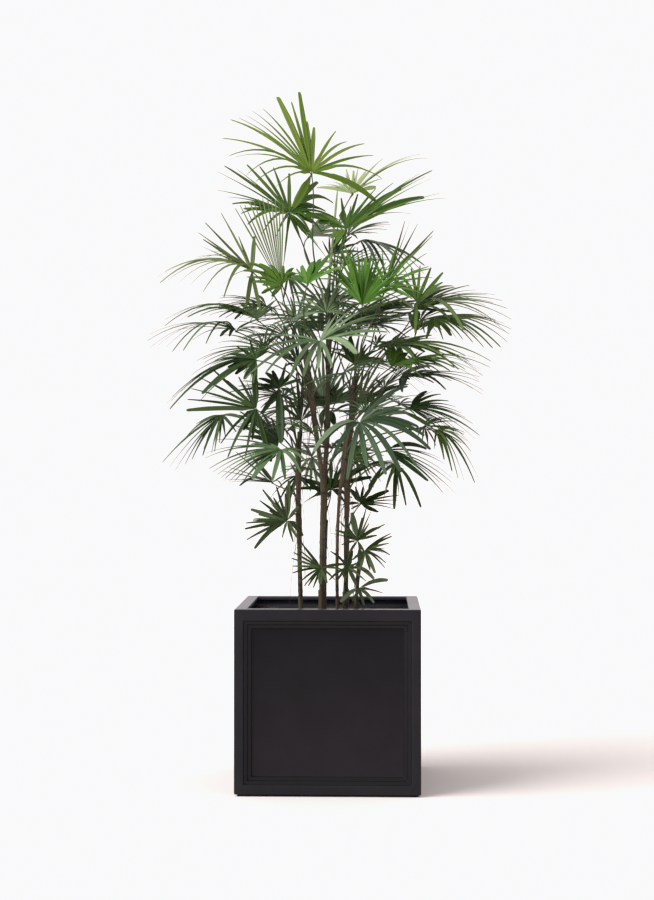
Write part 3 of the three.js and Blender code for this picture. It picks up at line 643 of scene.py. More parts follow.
# Rows: (height of the stalk's foot, hub x, y, z, heading, pitch and roll in degrees, length of the middle
# fingers, number of fingers, half the angle they spread over, droop, tone). A row with no foot height leaves
# the cane in the sheath of the frond above it, and belongs to the same piece as that.
FRONDS = {
    "a": [
        (735, -62, 10, 768, 60, 60, 0, 110, 9, 85, 0.3, "dark"),
        (715, -105, -60, 835, 150, 15, -40, 150, 10, 130, 0.4, "dark"),
        (705, -150, -110, 790, 178, 12, -65, 155, 12, 105, 0.12, "dark"),
        (695, -230, -20, 780, 200, -38, -25, 160, 11, 100, 0.6, "mid"),
        (660, -95, -170, 705, 208, -28, -10, 180, 13, 108, 0.5, "mid"),
        (660, -90, 180, 805, 120, -12, -20, 165, 10, 115, 0.5, "grey"),
        (None, -117, 150, 726, 165, 20, -55, 150, 9, 110, 0.5, "grey"),
        (600, -125, 50, 635, 175, 8, 0, 105, 9, 110, 0.5, "dark"),
        (None, -75, 120, 650, 105, 10, -10, 115, 9, 110, 0.5, "dark"),
        (565, -90, -30, 555, 175, 18, -60, 100, 12, 112, 0.2, "mid"),
    ],
    "b": [
        (925, -102, -40, 1051, 118, 60, 0, 188, 12, 32, 0.05, "pale"),
        (915, -165, -30, 1085, 182, 14, -42, 198, 13, 122, 0.8, "mid"),
        (910, -95, -130, 1045, 250, 10, 0, 85, 9, 112, 0.4, "young"),
        (905, -45, -90, 1050, 45, 45, 0, 90, 8, 100, 0.35, "young"),
        (875, -80, 190, 995, 130, 20, -20, 165, 10, 115, 0.5, "grey"),
        (None, -150, 130, 930, 155, 2, -25, 155, 9, 110, 0.5, "grey"),
        (855, -160, 60, 990, 180, 14, -20, 215, 12, 90, 0.85, "dark"),
        (840, -200, -10, 960, 180, -4, -15, 200, 12, 108, 0.8, "mid"),
        (820, -155, -60, 895, 198, -25, -35, 185, 13, 112, 0.5, "dark"),
        (None, -65, -60, 885, 205, 25, -30, 130, 10, 115, 0.4, "dark"),
        (810, -15, -190, 925, 268, -28, 0, 190, 14, 130, 0.8, "light"),
        (None, 30, -110, 865, 310, -5, 20, 125, 10, 115, 0.5, "grey"),
        (410, -15, -110, 460, 225, -10, -40, 75, 10, 135, 0.2, "mid"),
    ],
    "c": [
        (1045, -40, 20, 1300, 115, 52, 5, 205, 14, 132, 0.4, "young"),
        (1025, -90, 60, 1220, 150, 42, -15, 185, 13, 120, 0.35, "mid"),
        (1015, 35, -10, 1175, 66, 45, 25, 210, 12, 88, 0.3, "mid"),
        (1005, 45, 150, 1275, 30, 35, 20, 170, 9, 125, 0.4, "pale"),
        (995, -55, 190, 1185, 20, 15, 30, 115, 9, 95, 0.3, "grey"),
        (990, 60, 150, 1170, 0, -15, 15, 180, 10, 82, 0.6, "grey"),
        (975, -5, 170, 1140, 95, 42, 0, 160, 10, 115, 0.4, "grey"),
        (None, -95, 105, 1090, 155, 35, -15, 145, 9, 115, 0.4, "grey"),
        (965, -25, 180, 1040, 85, 30, 15, 170, 10, 118, 0.45, "grey"),
        (None, 60, 190, 1070, 55, 25, 20, 150, 9, 112, 0.45, "grey"),
        (940, 180, 60, 1010, 0, 2, 15, 215, 12, 70, 0.5, "dark"),
        (770, -15, 120, 800, 100, 60, 0, 140, 11, 65, 0.1, "grey"),
        (None, 60, 150, 805, 50, 20, 20, 145, 9, 110, 0.4, "grey"),
        (640, 40, 190, 715, 75, -25, 0, 165, 10, 115, 0.5, "grey"),
        (None, -45, 165, 690, 115, -20, -15, 145, 9, 112, 0.5, "grey"),
        (555, 0, 90, 620, 90, 40, 0, 75, 8, 105, 0.4, "dark"),
    ],
    "d": [
        (745, 115, -60, 835, 20, 35, 0, 100, 8, 95, 0.3, "dark"),
        (685, 65, -190, 760, 290, -38, 0, 195, 15, 132, 0.55, "light"),
    ],
    "e": [
        (850, 52, 10, 888, 80, 50, 0, 150, 10, 85, 0.4, "dark"),
        (845, 70, -120, 1005, 85, 52, 0, 130, 13, 118, 0.35, "young"),
        (None, 120, -80, 1045, 50, 45, 20, 115, 9, 110, 0.35, "young"),
        (845, 125, 40, 1075, 0, 57, 75, 155, 6, 24, 0.02, "mid"),
        (825, 185, -60, 1015, 75, 50, 15, 125, 11, 110, 0.3, "mid"),
        (810, 30, 170, 990, 40, 25, 25, 165, 10, 115, 0.5, "grey"),
        (None, 130, 150, 945, 25, 15, 25, 150, 9, 110, 0.5, "grey"),
        (800, 220, 0, 985, -10, -15, 30, 180, 12, 68, 0.5, "dark"),
        (780, 185, 110, 965, 70, 50, 0, 110, 9, 85, 0.2, "dark"),
        (770, 130, -60, 880, -5, 8, 12, 215, 12, 85, 0.45, "mid"),
        (None, 135, -15, 925, 12, 15, 25, 170, 10, 90, 0.45, "dark"),
        (760, 150, 20, 860, -5, -8, 12, 185, 12, 92, 0.55, "dark"),
        (750, 65, 190, 910, 60, -8, 20, 170, 10, 115, 0.55, "grey"),
        (None, 150, 160, 808, 40, -15, 20, 150, 9, 112, 0.5, "grey"),
        (695, 170, 30, 795, -5, -18, 40, 165, 12, 85, 0.55, "mid"),
        (660, 225, -50, 745, -40, -48, 20, 130, 11, 95, 0.5, "mid"),
        (640, 120, 70, 705, -10, -20, 30, 170, 11, 70, 0.5, "dark"),
        (620, 140, -60, 675, -50, -55, 0, 125, 10, 95, 0.4, "mid"),
        (535, 65, 60, 590, 20, 20, 25, 90, 9, 112, 0.4, "dark"),
        (405, 40, -90, 460, -30, -10, 20, 70, 9, 125, 0.4, "mid"),
    ],
    "f": [
        (490, 60, -80, 515, 60, 40, 20, 75, 9, 125, 0.3, "mid"),
        (470, 75, -75, 495, -10, 0, 50, 78, 9, 105, 0.4, "mid"),
        (385, 62, -75, 415, -50, -10, 50, 70, 8, 110, 0.45, "mid"),
    ],
}
# The scene has more fingers than a row gives, by this factor
FINER = 1.75
CELL_JITTER = 0.3
AIM_JITTER = 0.25
CUP = np.radians(12.0)
CUP_JITTER = np.radians(14.0)
END_FINGER_SHARE = 1.5
SIDE_SHORTENING = 0.28
LENGTH_LEAST, LENGTH_JITTER = 0.90, 0.14
DROOP_LEAST, DROOP_JITTER, DROOP_POWER = 0.85, 0.55, 1.5
SWAY = 0.30
PATH_STEPS = 48
WIDTH_BASE, WIDTH_PER_LENGTH = 3.4, 0.018
WIDTH_LEAST, WIDTH_JITTER = 0.70, 0.60
COMMON_BROAD = 0.45
# The web's edge, how far it fades beyond, how far neighbours lie over each other in it, and their room beyond
WEB_SHARE, WEB_FADE, WEB_OVERLAP, ROOM_SHARE = 0.125, 0.12, 1.03, 0.85
SHADES = 3
BROWN_TIPS = 0.15
# Places along a finger, the number of points across it, and which of the faces across are its underside
STATIONS = np.array([0.02, 0.08, 0.14, 0.22, 0.34, 0.46, 0.58, 0.70, 0.81, 0.90, 0.96, 0.99])
ACROSS = 8
UNDER_COLUMNS = (2, 5)
TIP_RINGS = 3
LEAF_THICKNESS, THINS_TO_TIP = 0.7, 0.45
FOLD, FOLD_FLATTENS, KEEL_LEAST = 0.42, 0.55, 0.12
HALF_WING, BULGE = 0.52, 0.10
TWIST, TWIST_POWER = np.radians(30.0), 1.5
# A finger's outline: its narrower base, where its fall to the tip begins, how deep that is, and the round end
BASE_WIDTH, BASE_GAIN, BASE_REACH = 0.78, 0.22, 0.4
BEND, BEND_LATER = 0.35, 0.25
FALL, FALL_LESS, FALL_JITTER = 0.84, 0.36, 0.12
END_FROM, END_REACH, END_LEAST = 0.955, 0.043, 0.02

# The fans that show plainly in the photograph have their fingers where it shows them. Each finger is the place
# of its tip in the photograph's pixels, how high it arches as a share of its length, and its width beside a
# common finger. The key is the cane, and the row's number in the cane's list above.
SEEN_FINGERS = {
    ("c", 1): [
        (277, 95, 0.04, 1.9), (291, 100, 0.02, 1.1), (299, 90, 0.0, 1.7), (307, 120, 0.06, 1.4),
        (314, 126, 0.1, 1.5), (336, 130, 0.06, 1.1), (347, 141, 0.14, 1.0), (365, 143, 0.1, 1.1),
        (374, 155, 0.08, 1.0), (382, 178, 0.2, 0.9), (376, 201, 0.16, 1.8), (350, 180, 0.1, 0.6),
        (293, 207, -0.05, 3.0), (262, 107, 0.1, 0.75), (251, 109, 0.1, 0.7), (244, 113, 0.1, 0.6),
        (237, 116, 0.1, 0.72), (229, 118, 0.12, 0.9), (221, 137, 0.12, 0.75), (228, 155, 0.24, 0.7),
        (234, 156, 0.18, 0.6), (245, 175, 0.32, 0.7), (255, 181, 0.24, 0.7), (274, 188, 0.2, 0.6)],
    ("c", 2): [
        (216, 170, 0.03, 0.5), (223, 164, 0.04, 1.2), (227, 166, 0.04, 1.0), (235, 167, 0.03, 0.5),
        (246, 163, 0.03, 0.9), (259, 165, 0.04, 0.9), (273, 166, 0.03, 0.9), (289, 172, 0.0, 1.1),
        (318, 181, 0.06, 1.8), (334, 203, 0.28, 1.5), (330, 226, 0.25, 1.0), (322, 232, 0.3, 0.8),
        (345, 224, 0.2, 0.7), (312, 236, 0.3, 0.8), (216, 189, 0.06, 0.5), (226, 196, 0.08, 0.5),
        (231, 203, 0.12, 0.8), (240, 213, 0.15, 0.8), (247, 224, 0.2, 0.9), (262, 233, 0.2, 0.7),
        (276, 236, 0.1, 0.7), (309, 238, 0.0, 0.9), (327, 258, 0.03, 0.55), (302, 231, 0.0, 0.6),
        (318, 244, 0.02, 0.5), (283, 268, 0.0, 0.6), (313, 222, 0.12, 1.4), (309, 232, 0.08, 1.2),
        (300, 238, 0.05, 1.1), (316, 206, 0.2, 1.4), (326, 211, 0.2, 1.2), (243, 208, 0.05, 1.2),
        (248, 203, 0.05, 1.1)],
    ("c", 3): [
        (303, 215, 0.15, 1.8), (312, 213, 0.12, 2.2), (318, 222, 0.2, 2.0), (330, 225, 0.2, 1.8),
        (341, 197, 0.0, 1.1), (351, 205, 0.0, 0.8), (358, 193, 0.0, 1.0), (366, 200, 0.1, 0.8),
        (376, 188, 0.06, 0.9), (394, 182, 0.06, 0.6), (402, 188, 0.08, 1.7), (420, 173, 0.05, 0.5),
        (433, 170, 0.08, 0.9), (426, 176, 0.06, 0.5), (425, 197, 0.1, 1.6), (440, 193, 0.06, 0.6),
        (446, 198, 0.1, 0.5), (412, 214, 0.16, 0.4), (432, 178, 0.06, 0.4), (396, 200, 0.05, 1.0),
        (330, 238, 0.05, 1.0), (333, 247, 0.05, 1.0), (340, 251, 0.03, 0.9)],
    ("c", 4): [
        (316, 187, 0.08, 1.2), (325, 184, 0.1, 0.7), (333, 181, 0.08, 0.8), (340, 180, 0.05, 0.9),
        (345, 173, 0.03, 0.8), (353, 169, 0.0, 0.9), (358, 168, 0.0, 0.9), (366, 170, 0.03, 1.4),
        (383, 158, 0.08, 0.9), (400, 162, 0.1, 0.8), (412, 157, 0.14, 0.6), (428, 158, 0.18, 0.6),
        (421, 154, 0.16, 0.5), (376, 187, 0.1, 1.8), (383, 178, 0.1, 0.7), (346, 168, 0.0, 1.0),
        (354, 170, 0.0, 1.0)],
    ("c", 5): [
        (345, 230, 0.1, 1.5), (342, 222, 0.08, 1.3), (333, 217, 0.05, 1.3), (322, 216, 0.03, 1.2),
        (350, 240, 0.12, 1.2), (316, 222, 0.0, 0.9)],
    ("c", 7): [
        (352, 236, 0.05, 1.1), (345, 232, 0.03, 1.0), (359, 243, 0.1, 1.1), (338, 230, 0.0, 0.8),
        (329, 234, 0.0, 0.8), (363, 252, 0.12, 1.0), (322, 240, 0.0, 0.7), (357, 264, 0.1, 0.9),
        (340, 276, 0.08, 0.8)],
    ("c", 8): [
        (318, 300, 0.1, 1.0), (312, 310, 0.1, 0.9), (303, 316, 0.1, 0.9), (325, 292, 0.1, 0.8),
        (296, 312, 0.05, 0.8), (282, 305, 0.0, 0.8), (271, 300, 0.05, 0.7)],
    ("c", 9): [
        (290, 292, 0.12, 1.0), (300, 300, 0.1, 1.1), (310, 318, 0.08, 1.4), (322, 331, 0.0, 1.7),
        (334, 327, 0.05, 1.7), (345, 319, 0.08, 1.6), (353, 308, 0.1, 1.4), (350, 296, 0.1, 1.1),
        (342, 284, 0.05, 0.9), (334, 278, 0.0, 0.8), (312, 284, 0.05, 0.8)],
    ("c", 6): [
        (425, 266, 0.16, 1.2), (419, 262, 0.14, 1.0), (413, 256, 0.1, 0.8), (425, 275, 0.22, 0.7),
        (416, 273, 0.2, 0.9), (411, 281, 0.28, 0.8), (405, 270, 0.2, 1.1), (399, 283, 0.3, 0.7),
        (390, 287, 0.3, 0.9), (380, 275, 0.2, 1.0), (372, 282, 0.2, 0.7)],
    ("c", 11): [
        (454, 286, 0.12, 1.2), (470, 285, 0.06, 1.0), (462, 294, 0.12, 0.6), (469, 298, 0.15, 0.6),
        (487, 295, 0.1, 0.8), (496, 295, 0.12, 0.6), (503, 301, 0.14, 0.8), (486, 306, 0.2, 0.6),
        (508, 309, 0.16, 0.8), (512, 320, 0.2, 0.7), (500, 326, 0.24, 0.6), (508, 334, 0.25, 0.5),
        (490, 318, 0.22, 0.6), (464, 331, 0.32, 1.1), (450, 320, 0.22, 1.0), (482, 300, 0.12, 0.7),
        (476, 290, 0.08, 0.6), (494, 303, 0.14, 0.7), (505, 316, 0.18, 0.6), (470, 306, 0.16, 0.7),
        (455, 287, 0.08, 1.4), (441, 289, 0.08, 1.2), (430, 292, 0.05, 1.2), (399, 303, 0.05, 1.3),
        (393, 310, 0.05, 1.3), (396, 297, 0.05, 1.1), (447, 301, 0.05, 1.3), (452, 312, 0.05, 1.3)],
    ("c", 12): [
        (303, 360, 0.0, 1.0), (308, 350, 0.0, 1.0), (315, 344, 0.0, 1.0), (322, 340, 0.0, 1.1),
        (330, 340, 0.0, 1.1), (337, 346, 0.0, 1.1), (344, 352, 0.0, 1.0), (350, 362, 0.0, 1.0),
        (356, 374, 0.03, 1.1), (362, 388, 0.1, 1.5), (373, 394, 0.2, 1.4), (312, 378, 0.0, 0.8),
        (299, 396, 0.05, 1.0), (321, 433, 0.05, 1.1), (330, 437, 0.03, 1.1), (338, 431, 0.05, 1.1)],
    ("c", 13): [
        (363, 372, 0.0, 1.0), (371, 368, 0.0, 1.1), (380, 372, 0.02, 1.1), (389, 376, 0.03, 1.0),
        (398, 383, 0.06, 1.2), (409, 384, 0.1, 1.4), (352, 376, 0.0, 0.9), (344, 380, 0.0, 0.9),
        (404, 396, 0.1, 1.0), (336, 398, 0.05, 0.9), (331, 414, 0.2, 1.0), (341, 392, 0.03, 0.8)],
    ("c", 14): [
        (362, 480, 0.05, 1.3), (370, 474, 0.08, 1.3), (378, 466, 0.1, 1.2), (384, 456, 0.1, 1.0),
        (352, 484, 0.0, 1.2), (342, 480, 0.03, 1.1), (334, 472, 0.05, 1.0), (328, 462, 0.08, 1.0),
        (374, 488, 0.05, 1.0), (366, 496, 0.05, 0.9), (381, 482, 0.08, 0.9), (332, 446, 0.1, 1.0),
        (340, 432, 0.05, 1.0), (362, 428, 0.05, 0.9)],
    ("c", 15): [
        (296, 480, 0.1, 1.0), (303, 488, 0.05, 1.0), (310, 492, 0.0, 1.0), (318, 488, 0.03, 1.1),
        (326, 478, 0.05, 1.2), (292, 466, 0.1, 1.0), (330, 466, 0.1, 1.0), (290, 452, 0.1, 1.2),
        (329, 452, 0.1, 1.1), (300, 440, 0.05, 1.0), (322, 438, 0.05, 1.0), (284, 474, 0.1, 0.7)],
    ("c", 16): [
        (331, 459, 0.0, 1.5), (338, 466, 0.02, 1.1), (324, 466, 0.0, 1.0), (344, 462, 0.02, 1.1),
        (372, 477, 0.08, 1.5), (379, 461, 0.08, 1.5), (366, 462, 0.04, 1.2), (345, 503, 0.15, 1.2),
        (352, 498, 0.1, 0.9), (300, 478, 0.06, 1.3), (294, 489, 0.06, 1.2), (303, 503, 0.08, 0.8),
        (313, 470, 0.03, 1.0), (328, 500, 0.05, 0.8), (333, 478, 0.0, 1.8), (327, 480, 0.0, 1.6)],
    ("b", 1): [
        (234, 206, 0.0, 0.6), (239, 203, 0.0, 0.6), (244, 203, 0.0, 0.5), (249, 200, 0.0, 0.6),
        (253, 199, 0.0, 0.5), (258, 197, 0.0, 0.6), (262, 196, 0.0, 0.5), (267, 196, 0.0, 0.6),
        (271, 197, 0.0, 0.5), (275, 198, 0.0, 0.6), (279, 199, 0.0, 0.5), (283, 201, 0.0, 0.5)],
    ("b", 2): [
        (220, 211, 0.02, 1.0), (204, 221, 0.0, 1.1), (197, 231, 0.0, 1.0), (202, 238, 0.0, 1.3),
        (238, 235, 0.0, 1.1), (254, 235, 0.0, 2.0), (201, 259, 0.32, 0.5), (210, 251, 0.2, 0.5),
        (188, 262, 0.28, 0.3), (196, 256, 0.2, 0.3), (163, 271, 0.22, 0.8), (158, 283, 0.3, 1.2),
        (154, 278, 0.25, 0.5), (166, 280, 0.26, 0.6), (177, 283, 0.3, 0.5), (189, 285, 0.32, 0.5),
        (202, 292, 0.38, 0.9), (223, 298, 0.5, 1.2), (246, 306, -0.02, 1.9), (261, 312, -0.05, 1.7),
        (222, 285, 0.2, 0.3), (200, 245, 0.02, 0.6)],
    ("b", 3): [
        (247, 263, 0.22, 1.2), (243, 270, 0.18, 1.2), (246, 276, 0.12, 1.3), (252, 281, 0.08, 1.4),
        (262, 284, 0.04, 1.4), (270, 286, 0.0, 1.2), (258, 263, 0.12, 1.2), (270, 264, 0.1, 1.0),
        (283, 265, 0.08, 1.0), (293, 267, 0.12, 1.2), (298, 273, 0.2, 1.4), (297, 279, 0.15, 1.2),
        (262, 293, 0.06, 1.2), (272, 296, 0.05, 1.2)],
    ("b", 4): [
        (292, 276, 0.1, 1.4), (301, 265, 0.0, 1.6), (312, 261, 0.05, 1.8), (320, 258, 0.05, 1.5),
        (331, 252, 0.05, 1.8), (336, 262, 0.08, 1.1), (344, 266, 0.1, 0.9), (296, 268, 0.0, 0.8)],
    ("b", 5): [
        (276, 300, 0.1, 1.0), (282, 310, 0.1, 1.0), (272, 318, 0.12, 1.0), (290, 296, 0.05, 1.0),
        (304, 292, 0.0, 1.0), (316, 296, 0.05, 1.2), (326, 304, 0.08, 1.2), (330, 318, 0.1, 1.4),
        (326, 332, 0.12, 1.5), (316, 341, 0.1, 1.5), (304, 343, 0.05, 1.6), (292, 341, 0.08, 1.4),
        (282, 332, 0.1, 1.3), (276, 326, 0.1, 0.9), (318, 331, 0.05, 1.2), (322, 323, 0.05, 1.2),
        (311, 339, 0.05, 1.2), (303, 343, 0.05, 1.1)],
    ("b", 7): [
        (163, 326, 0.3, 0.8), (163, 320, 0.26, 0.3), (172, 316, 0.24, 0.5), (176, 323, 0.3, 0.4),
        (186, 317, 0.22, 1.0), (193, 307, 0.12, 0.7), (199, 315, 0.22, 0.8), (208, 315, 0.2, 0.7),
        (218, 317, 0.3, 1.0), (234, 319, 0.4, 1.3), (222, 303, 0.1, 1.7), (240, 302, 0.03, 1.6),
        (247, 299, 0.0, 1.3), (253, 299, 0.0, 1.7), (262, 300, 0.0, 1.3), (276, 299, 0.03, 1.3),
        (281, 304, 0.05, 1.0)],
    ("b", 8): [
        (145, 341, 0.22, 1.1), (148, 334, 0.18, 0.5), (148, 348, 0.25, 0.3), (156, 346, 0.26, 0.3),
        (165, 347, 0.28, 0.5), (171, 352, 0.32, 1.1), (182, 351, 0.34, 1.2), (191, 340, 0.2, 0.7),
        (205, 344, 0.45, 1.3), (220, 336, 0.3, 2.2), (229, 336, 0.3, 1.8), (175, 330, 0.1, 0.5),
        (255, 333, 0.2, 1.0), (279, 320, 0.2, 1.2), (268, 327, 0.1, 0.6), (262, 339, 0.1, 0.9),
        (247, 322, 0.05, 0.9)],
    ("b", 9): [
        (190, 375, 0.2, 0.7), (208, 366, 0.16, 0.6), (221, 355, 0.1, 0.9), (213, 360, 0.12, 0.7),
        (212, 364, 0.14, 0.8), (229, 353, 0.08, 1.1), (236, 346, 0.05, 1.1), (246, 345, 0.1, 0.9),
        (249, 338, 0.03, 1.2), (257, 344, 0.0, 1.0), (264, 334, 0.0, 1.1), (272, 338, 0.03, 1.0),
        (280, 341, 0.1, 1.0), (270, 350, 0.1, 0.9), (168, 410, 0.22, 1.3), (169, 402, 0.22, 0.8),
        (175, 393, 0.2, 0.7), (188, 388, 0.18, 0.8), (201, 394, 0.14, 1.8), (198, 402, 0.12, 0.9),
        (235, 374, 0.08, 2.4), (227, 367, 0.06, 1.8), (244, 379, 0.03, 2.0), (253, 383, 0.0, 1.6),
        (243, 373, 0.1, 0.9), (250, 380, 0.08, 0.9), (257, 381, 0.05, 1.0), (165, 404, 0.22, 0.6),
        (171, 397, 0.2, 0.5), (180, 392, 0.2, 0.6), (193, 384, 0.18, 0.7), (200, 376, 0.15, 0.7)],
    ("b", 11): [
        (243, 380, 0.18, 1.5), (245, 357, 0.12, 0.8), (262, 347, 0.08, 1.0), (265, 373, 0.18, 1.4),
        (289, 379, 0.18, 1.4), (303, 377, 0.14, 1.8), (318, 368, 0.02, 2.0), (332, 367, 0.12, 1.7),
        (357, 354, 0.28, 2.1), (373, 337, 0.12, 1.6), (388, 332, 0.1, 1.4), (392, 328, 0.08, 0.6),
        (398, 318, 0.15, 1.0), (386, 313, 0.1, 0.9), (372, 306, 0.06, 0.9), (360, 302, 0.04, 0.8),
        (348, 312, 0.04, 0.9), (275, 343, 0.08, 1.2), (270, 335, 0.08, 1.0), (352, 322, 0.05, 1.0),
        (365, 318, 0.06, 1.0), (378, 322, 0.08, 1.1), (347, 330, 0.03, 1.1), (338, 312, 0.03, 1.0),
        (330, 318, 0.0, 1.0)],
    ("b", 13): [
        (293, 552, 0.0, 1.0), (291, 558, 0.0, 1.0), (292, 573, 0.06, 1.1), (300, 582, 0.08, 1.0),
        (308, 586, 0.05, 1.2), (320, 584, 0.0, 2.3), (327, 583, 0.05, 1.4), (349, 564, 0.06, 1.4),
        (347, 571, 0.1, 1.1), (335, 580, 0.08, 1.0), (302, 544, 0.0, 1.4), (296, 547, 0.0, 1.0),
        (299, 540, 0.0, 1.1), (292, 566, 0.03, 1.1), (313, 588, 0.02, 1.1), (340, 563, 0.03, 1.1),
        (304, 586, 0.05, 1.0)],
    ("a", 1): [
        (296, 372, 0.0, 1.2), (303, 367, 0.0, 1.1), (290, 380, 0.0, 1.0), (285, 392, 0.03, 1.0),
        (314, 392, 0.03, 1.0), (279, 405, 0.05, 1.1), (318, 412, 0.1, 1.0), (283, 418, 0.08, 1.0),
        (287, 431, 0.05, 1.3), (313, 433, 0.05, 1.1), (322, 402, 0.08, 0.8), (300, 438, 0.0, 1.2)],
    ("a", 2): [
        (281, 443, -0.02, 2.7), (261, 414, 0.0, 1.6), (228, 392, 0.06, 0.8), (236, 386, 0.08, 0.5),
        (265, 372, 0.12, 1.4), (258, 378, 0.12, 1.2), (286, 362, 0.0, 1.0), (294, 370, 0.02, 1.1),
        (301, 379, 0.08, 1.0), (297, 398, 0.15, 0.9), (272, 370, 0.05, 1.4)],
    ("a", 3): [
        (185, 410, 0.03, 1.7), (186, 399, 0.03, 1.0), (190, 388, 0.03, 0.9), (197, 376, 0.02, 1.0),
        (209, 366, 0.0, 1.2), (226, 380, 0.0, 1.4), (238, 376, 0.0, 1.1), (254, 370, 0.0, 2.4),
        (246, 380, 0.0, 0.6), (206, 395, 0.03, 0.4), (227, 458, 0.15, 1.2), (245, 457, 0.1, 1.1),
        (220, 444, 0.15, 1.0), (243, 430, 0.05, 1.7), (236, 437, 0.1, 1.5), (252, 440, 0.05, 1.4),
        (271, 462, 0.0, 2.2)],
    ("a", 4): [
        (186, 436, 0.18, 1.0), (161, 463, 0.12, 1.0), (168, 468, 0.12, 0.4), (174, 471, 0.12, 0.5),
        (184, 465, 0.14, 0.8), (191, 460, 0.14, 0.9), (202, 456, 0.16, 1.1), (206, 444, 0.1, 0.8),
        (214, 452, 0.12, 1.1), (219, 443, 0.1, 0.9), (225, 437, 0.05, 1.0), (195, 424, 0.1, 0.9),
        (236, 432, 0.05, 1.2), (246, 420, 0.1, 1.2), (203, 449, 0.1, 0.8), (211, 453, 0.08, 0.8)],
    ("a", 5): [
        (204, 458, 0.12, 0.9), (205, 453, 0.1, 0.7), (211, 440, 0.08, 0.6), (208, 469, 0.14, 1.0),
        (216, 475, 0.14, 0.9), (224, 479, 0.14, 1.0), (234, 481, 0.12, 1.1), (252, 479, 0.12, 1.9),
        (268, 461, 0.05, 1.7), (272, 481, 0.03, 1.7), (285, 479, 0.0, 1.6), (301, 473, 0.1, 1.5),
        (312, 470, 0.12, 1.0), (304, 452, 0.1, 0.8), (250, 444, 0.08, 1.6), (212, 472, 0.14, 0.9),
        (220, 478, 0.14, 0.9), (229, 481, 0.13, 1.0), (243, 481, 0.12, 1.2)],
    ("a", 7): [
        (262, 413, 0.03, 1.3), (253, 411, 0.03, 1.4), (247, 418, 0.03, 1.5), (243, 426, 0.03, 1.4),
        (250, 436, 0.02, 1.6), (257, 446, 0.02, 1.6), (262, 456, 0.02, 1.4), (268, 461, 0.02, 1.5),
        (271, 417, 0.02, 1.2), (238, 436, 0.05, 1.0), (239, 411, 0.05, 1.2), (228, 424, 0.05, 0.9)],
    ("a", 8): [
        (222, 471, 0.04, 0.8), (228, 467, 0.03, 0.7), (235, 451, 0.0, 1.1), (248, 452, 0.0, 1.0),
        (260, 465, 0.0, 1.5), (239, 486, 0.25, 1.3), (222, 480, 0.05, 0.4), (227, 482, 0.05, 0.4),
        (294, 475, 0.1, 0.5), (284, 492, 0.2, 0.6), (241, 479, 0.06, 0.9)],
    ("a", 9): [
        (283, 512, 0.1, 0.9), (277, 505, 0.12, 0.9), (290, 500, 0.05, 0.9), (270, 498, 0.12, 0.7),
        (310, 490, 0.05, 1.1), (320, 494, 0.08, 1.1), (328, 500, 0.1, 1.0), (314, 478, 0.08, 1.0),
        (280, 482, 0.1, 0.8), (306, 466, 0.0, 0.9), (290, 462, 0.0, 0.8)],
    ("a", 10): [
        (244, 529, 0.02, 1.3), (245, 523, 0.02, 1.1), (246, 540, 0.05, 1.2), (254, 549, 0.16, 2.0),
        (252, 520, 0.02, 1.1), (250, 509, 0.0, 1.7), (253, 518, 0.0, 0.9), (259, 500, 0.0, 1.2),
        (262, 489, 0.0, 1.3), (270, 503, 0.0, 0.7), (276, 486, 0.0, 1.2), (285, 493, 0.0, 1.2),
        (289, 480, 0.0, 2.4), (299, 506, 0.06, 1.5), (303, 536, 0.16, 1.9), (296, 523, 0.05, 1.2),
        (258, 514, 0.02, 1.6), (263, 526, 0.04, 1.7), (266, 536, 0.08, 1.3), (269, 510, 0.0, 1.6),
        (273, 497, 0.0, 1.3), (294, 512, 0.03, 1.6), (282, 538, 0.1, 1.0), (298, 530, 0.1, 1.5),
        (276, 518, 0.02, 2.2), (277, 526, 0.04, 2.2), (298, 539, 0.0, 1.3), (301, 530, 0.05, 1.2),
        (293, 542, 0.0, 1.1)],
    ("d", 2): [
        (313, 452, 0.22, 1.4), (322, 446, 0.2, 0.8), (331, 462, 0.16, 1.3), (347, 480, 0.06, 1.7),
        (367, 467, 0.0, 1.8), (386, 475, 0.12, 1.7), (401, 473, 0.2, 1.5), (417, 467, 0.24, 1.1),
        (431, 450, 0.22, 2.0), (425, 436, 0.2, 1.4), (412, 432, 0.15, 0.9), (341, 411, 0.1, 0.8),
        (410, 409, 0.12, 0.9), (405, 413, 0.12, 1.4), (409, 413, 0.12, 1.7), (419, 427, 0.16, 1.6),
        (421, 434, 0.18, 1.4), (403, 408, 0.1, 1.5), (408, 386, 0.12, 1.3), (395, 393, 0.08, 1.1),
        (420, 395, 0.12, 0.7)],
    ("e", 1): [
        (350, 336, 0.0, 1.9), (341, 344, 0.08, 1.3), (334, 352, 0.12, 0.9), (358, 338, 0.0, 1.0),
        (366, 344, 0.02, 1.0), (372, 343, 0.03, 0.7), (378, 350, 0.12, 1.0), (386, 362, 0.25, 1.0),
        (378, 368, 0.1, 0.5), (345, 352, 0.05, 1.5)],
    ("e", 2): [
        (322, 272, 0.16, 1.1), (330, 262, 0.1, 1.2), (337, 254, 0.06, 1.0), (344, 243, 0.03, 1.2),
        (352, 252, 0.02, 1.3), (357, 246, 0.0, 1.0), (366, 257, 0.0, 2.3), (372, 250, 0.03, 1.3),
        (381, 255, 0.05, 1.2), (386, 262, 0.08, 1.2), (394, 268, 0.1, 1.2), (404, 276, 0.14, 1.1),
        (398, 288, 0.14, 1.4), (412, 281, 0.14, 0.8), (390, 297, 0.1, 1.0), (332, 285, 0.15, 1.0),
        (327, 266, 0.1, 1.0), (341, 248, 0.04, 1.0), (348, 247, 0.02, 1.0), (362, 251, 0.0, 1.0),
        (376, 252, 0.04, 1.0), (390, 264, 0.08, 1.0), (400, 271, 0.1, 1.0)],
    ("e", 4): [
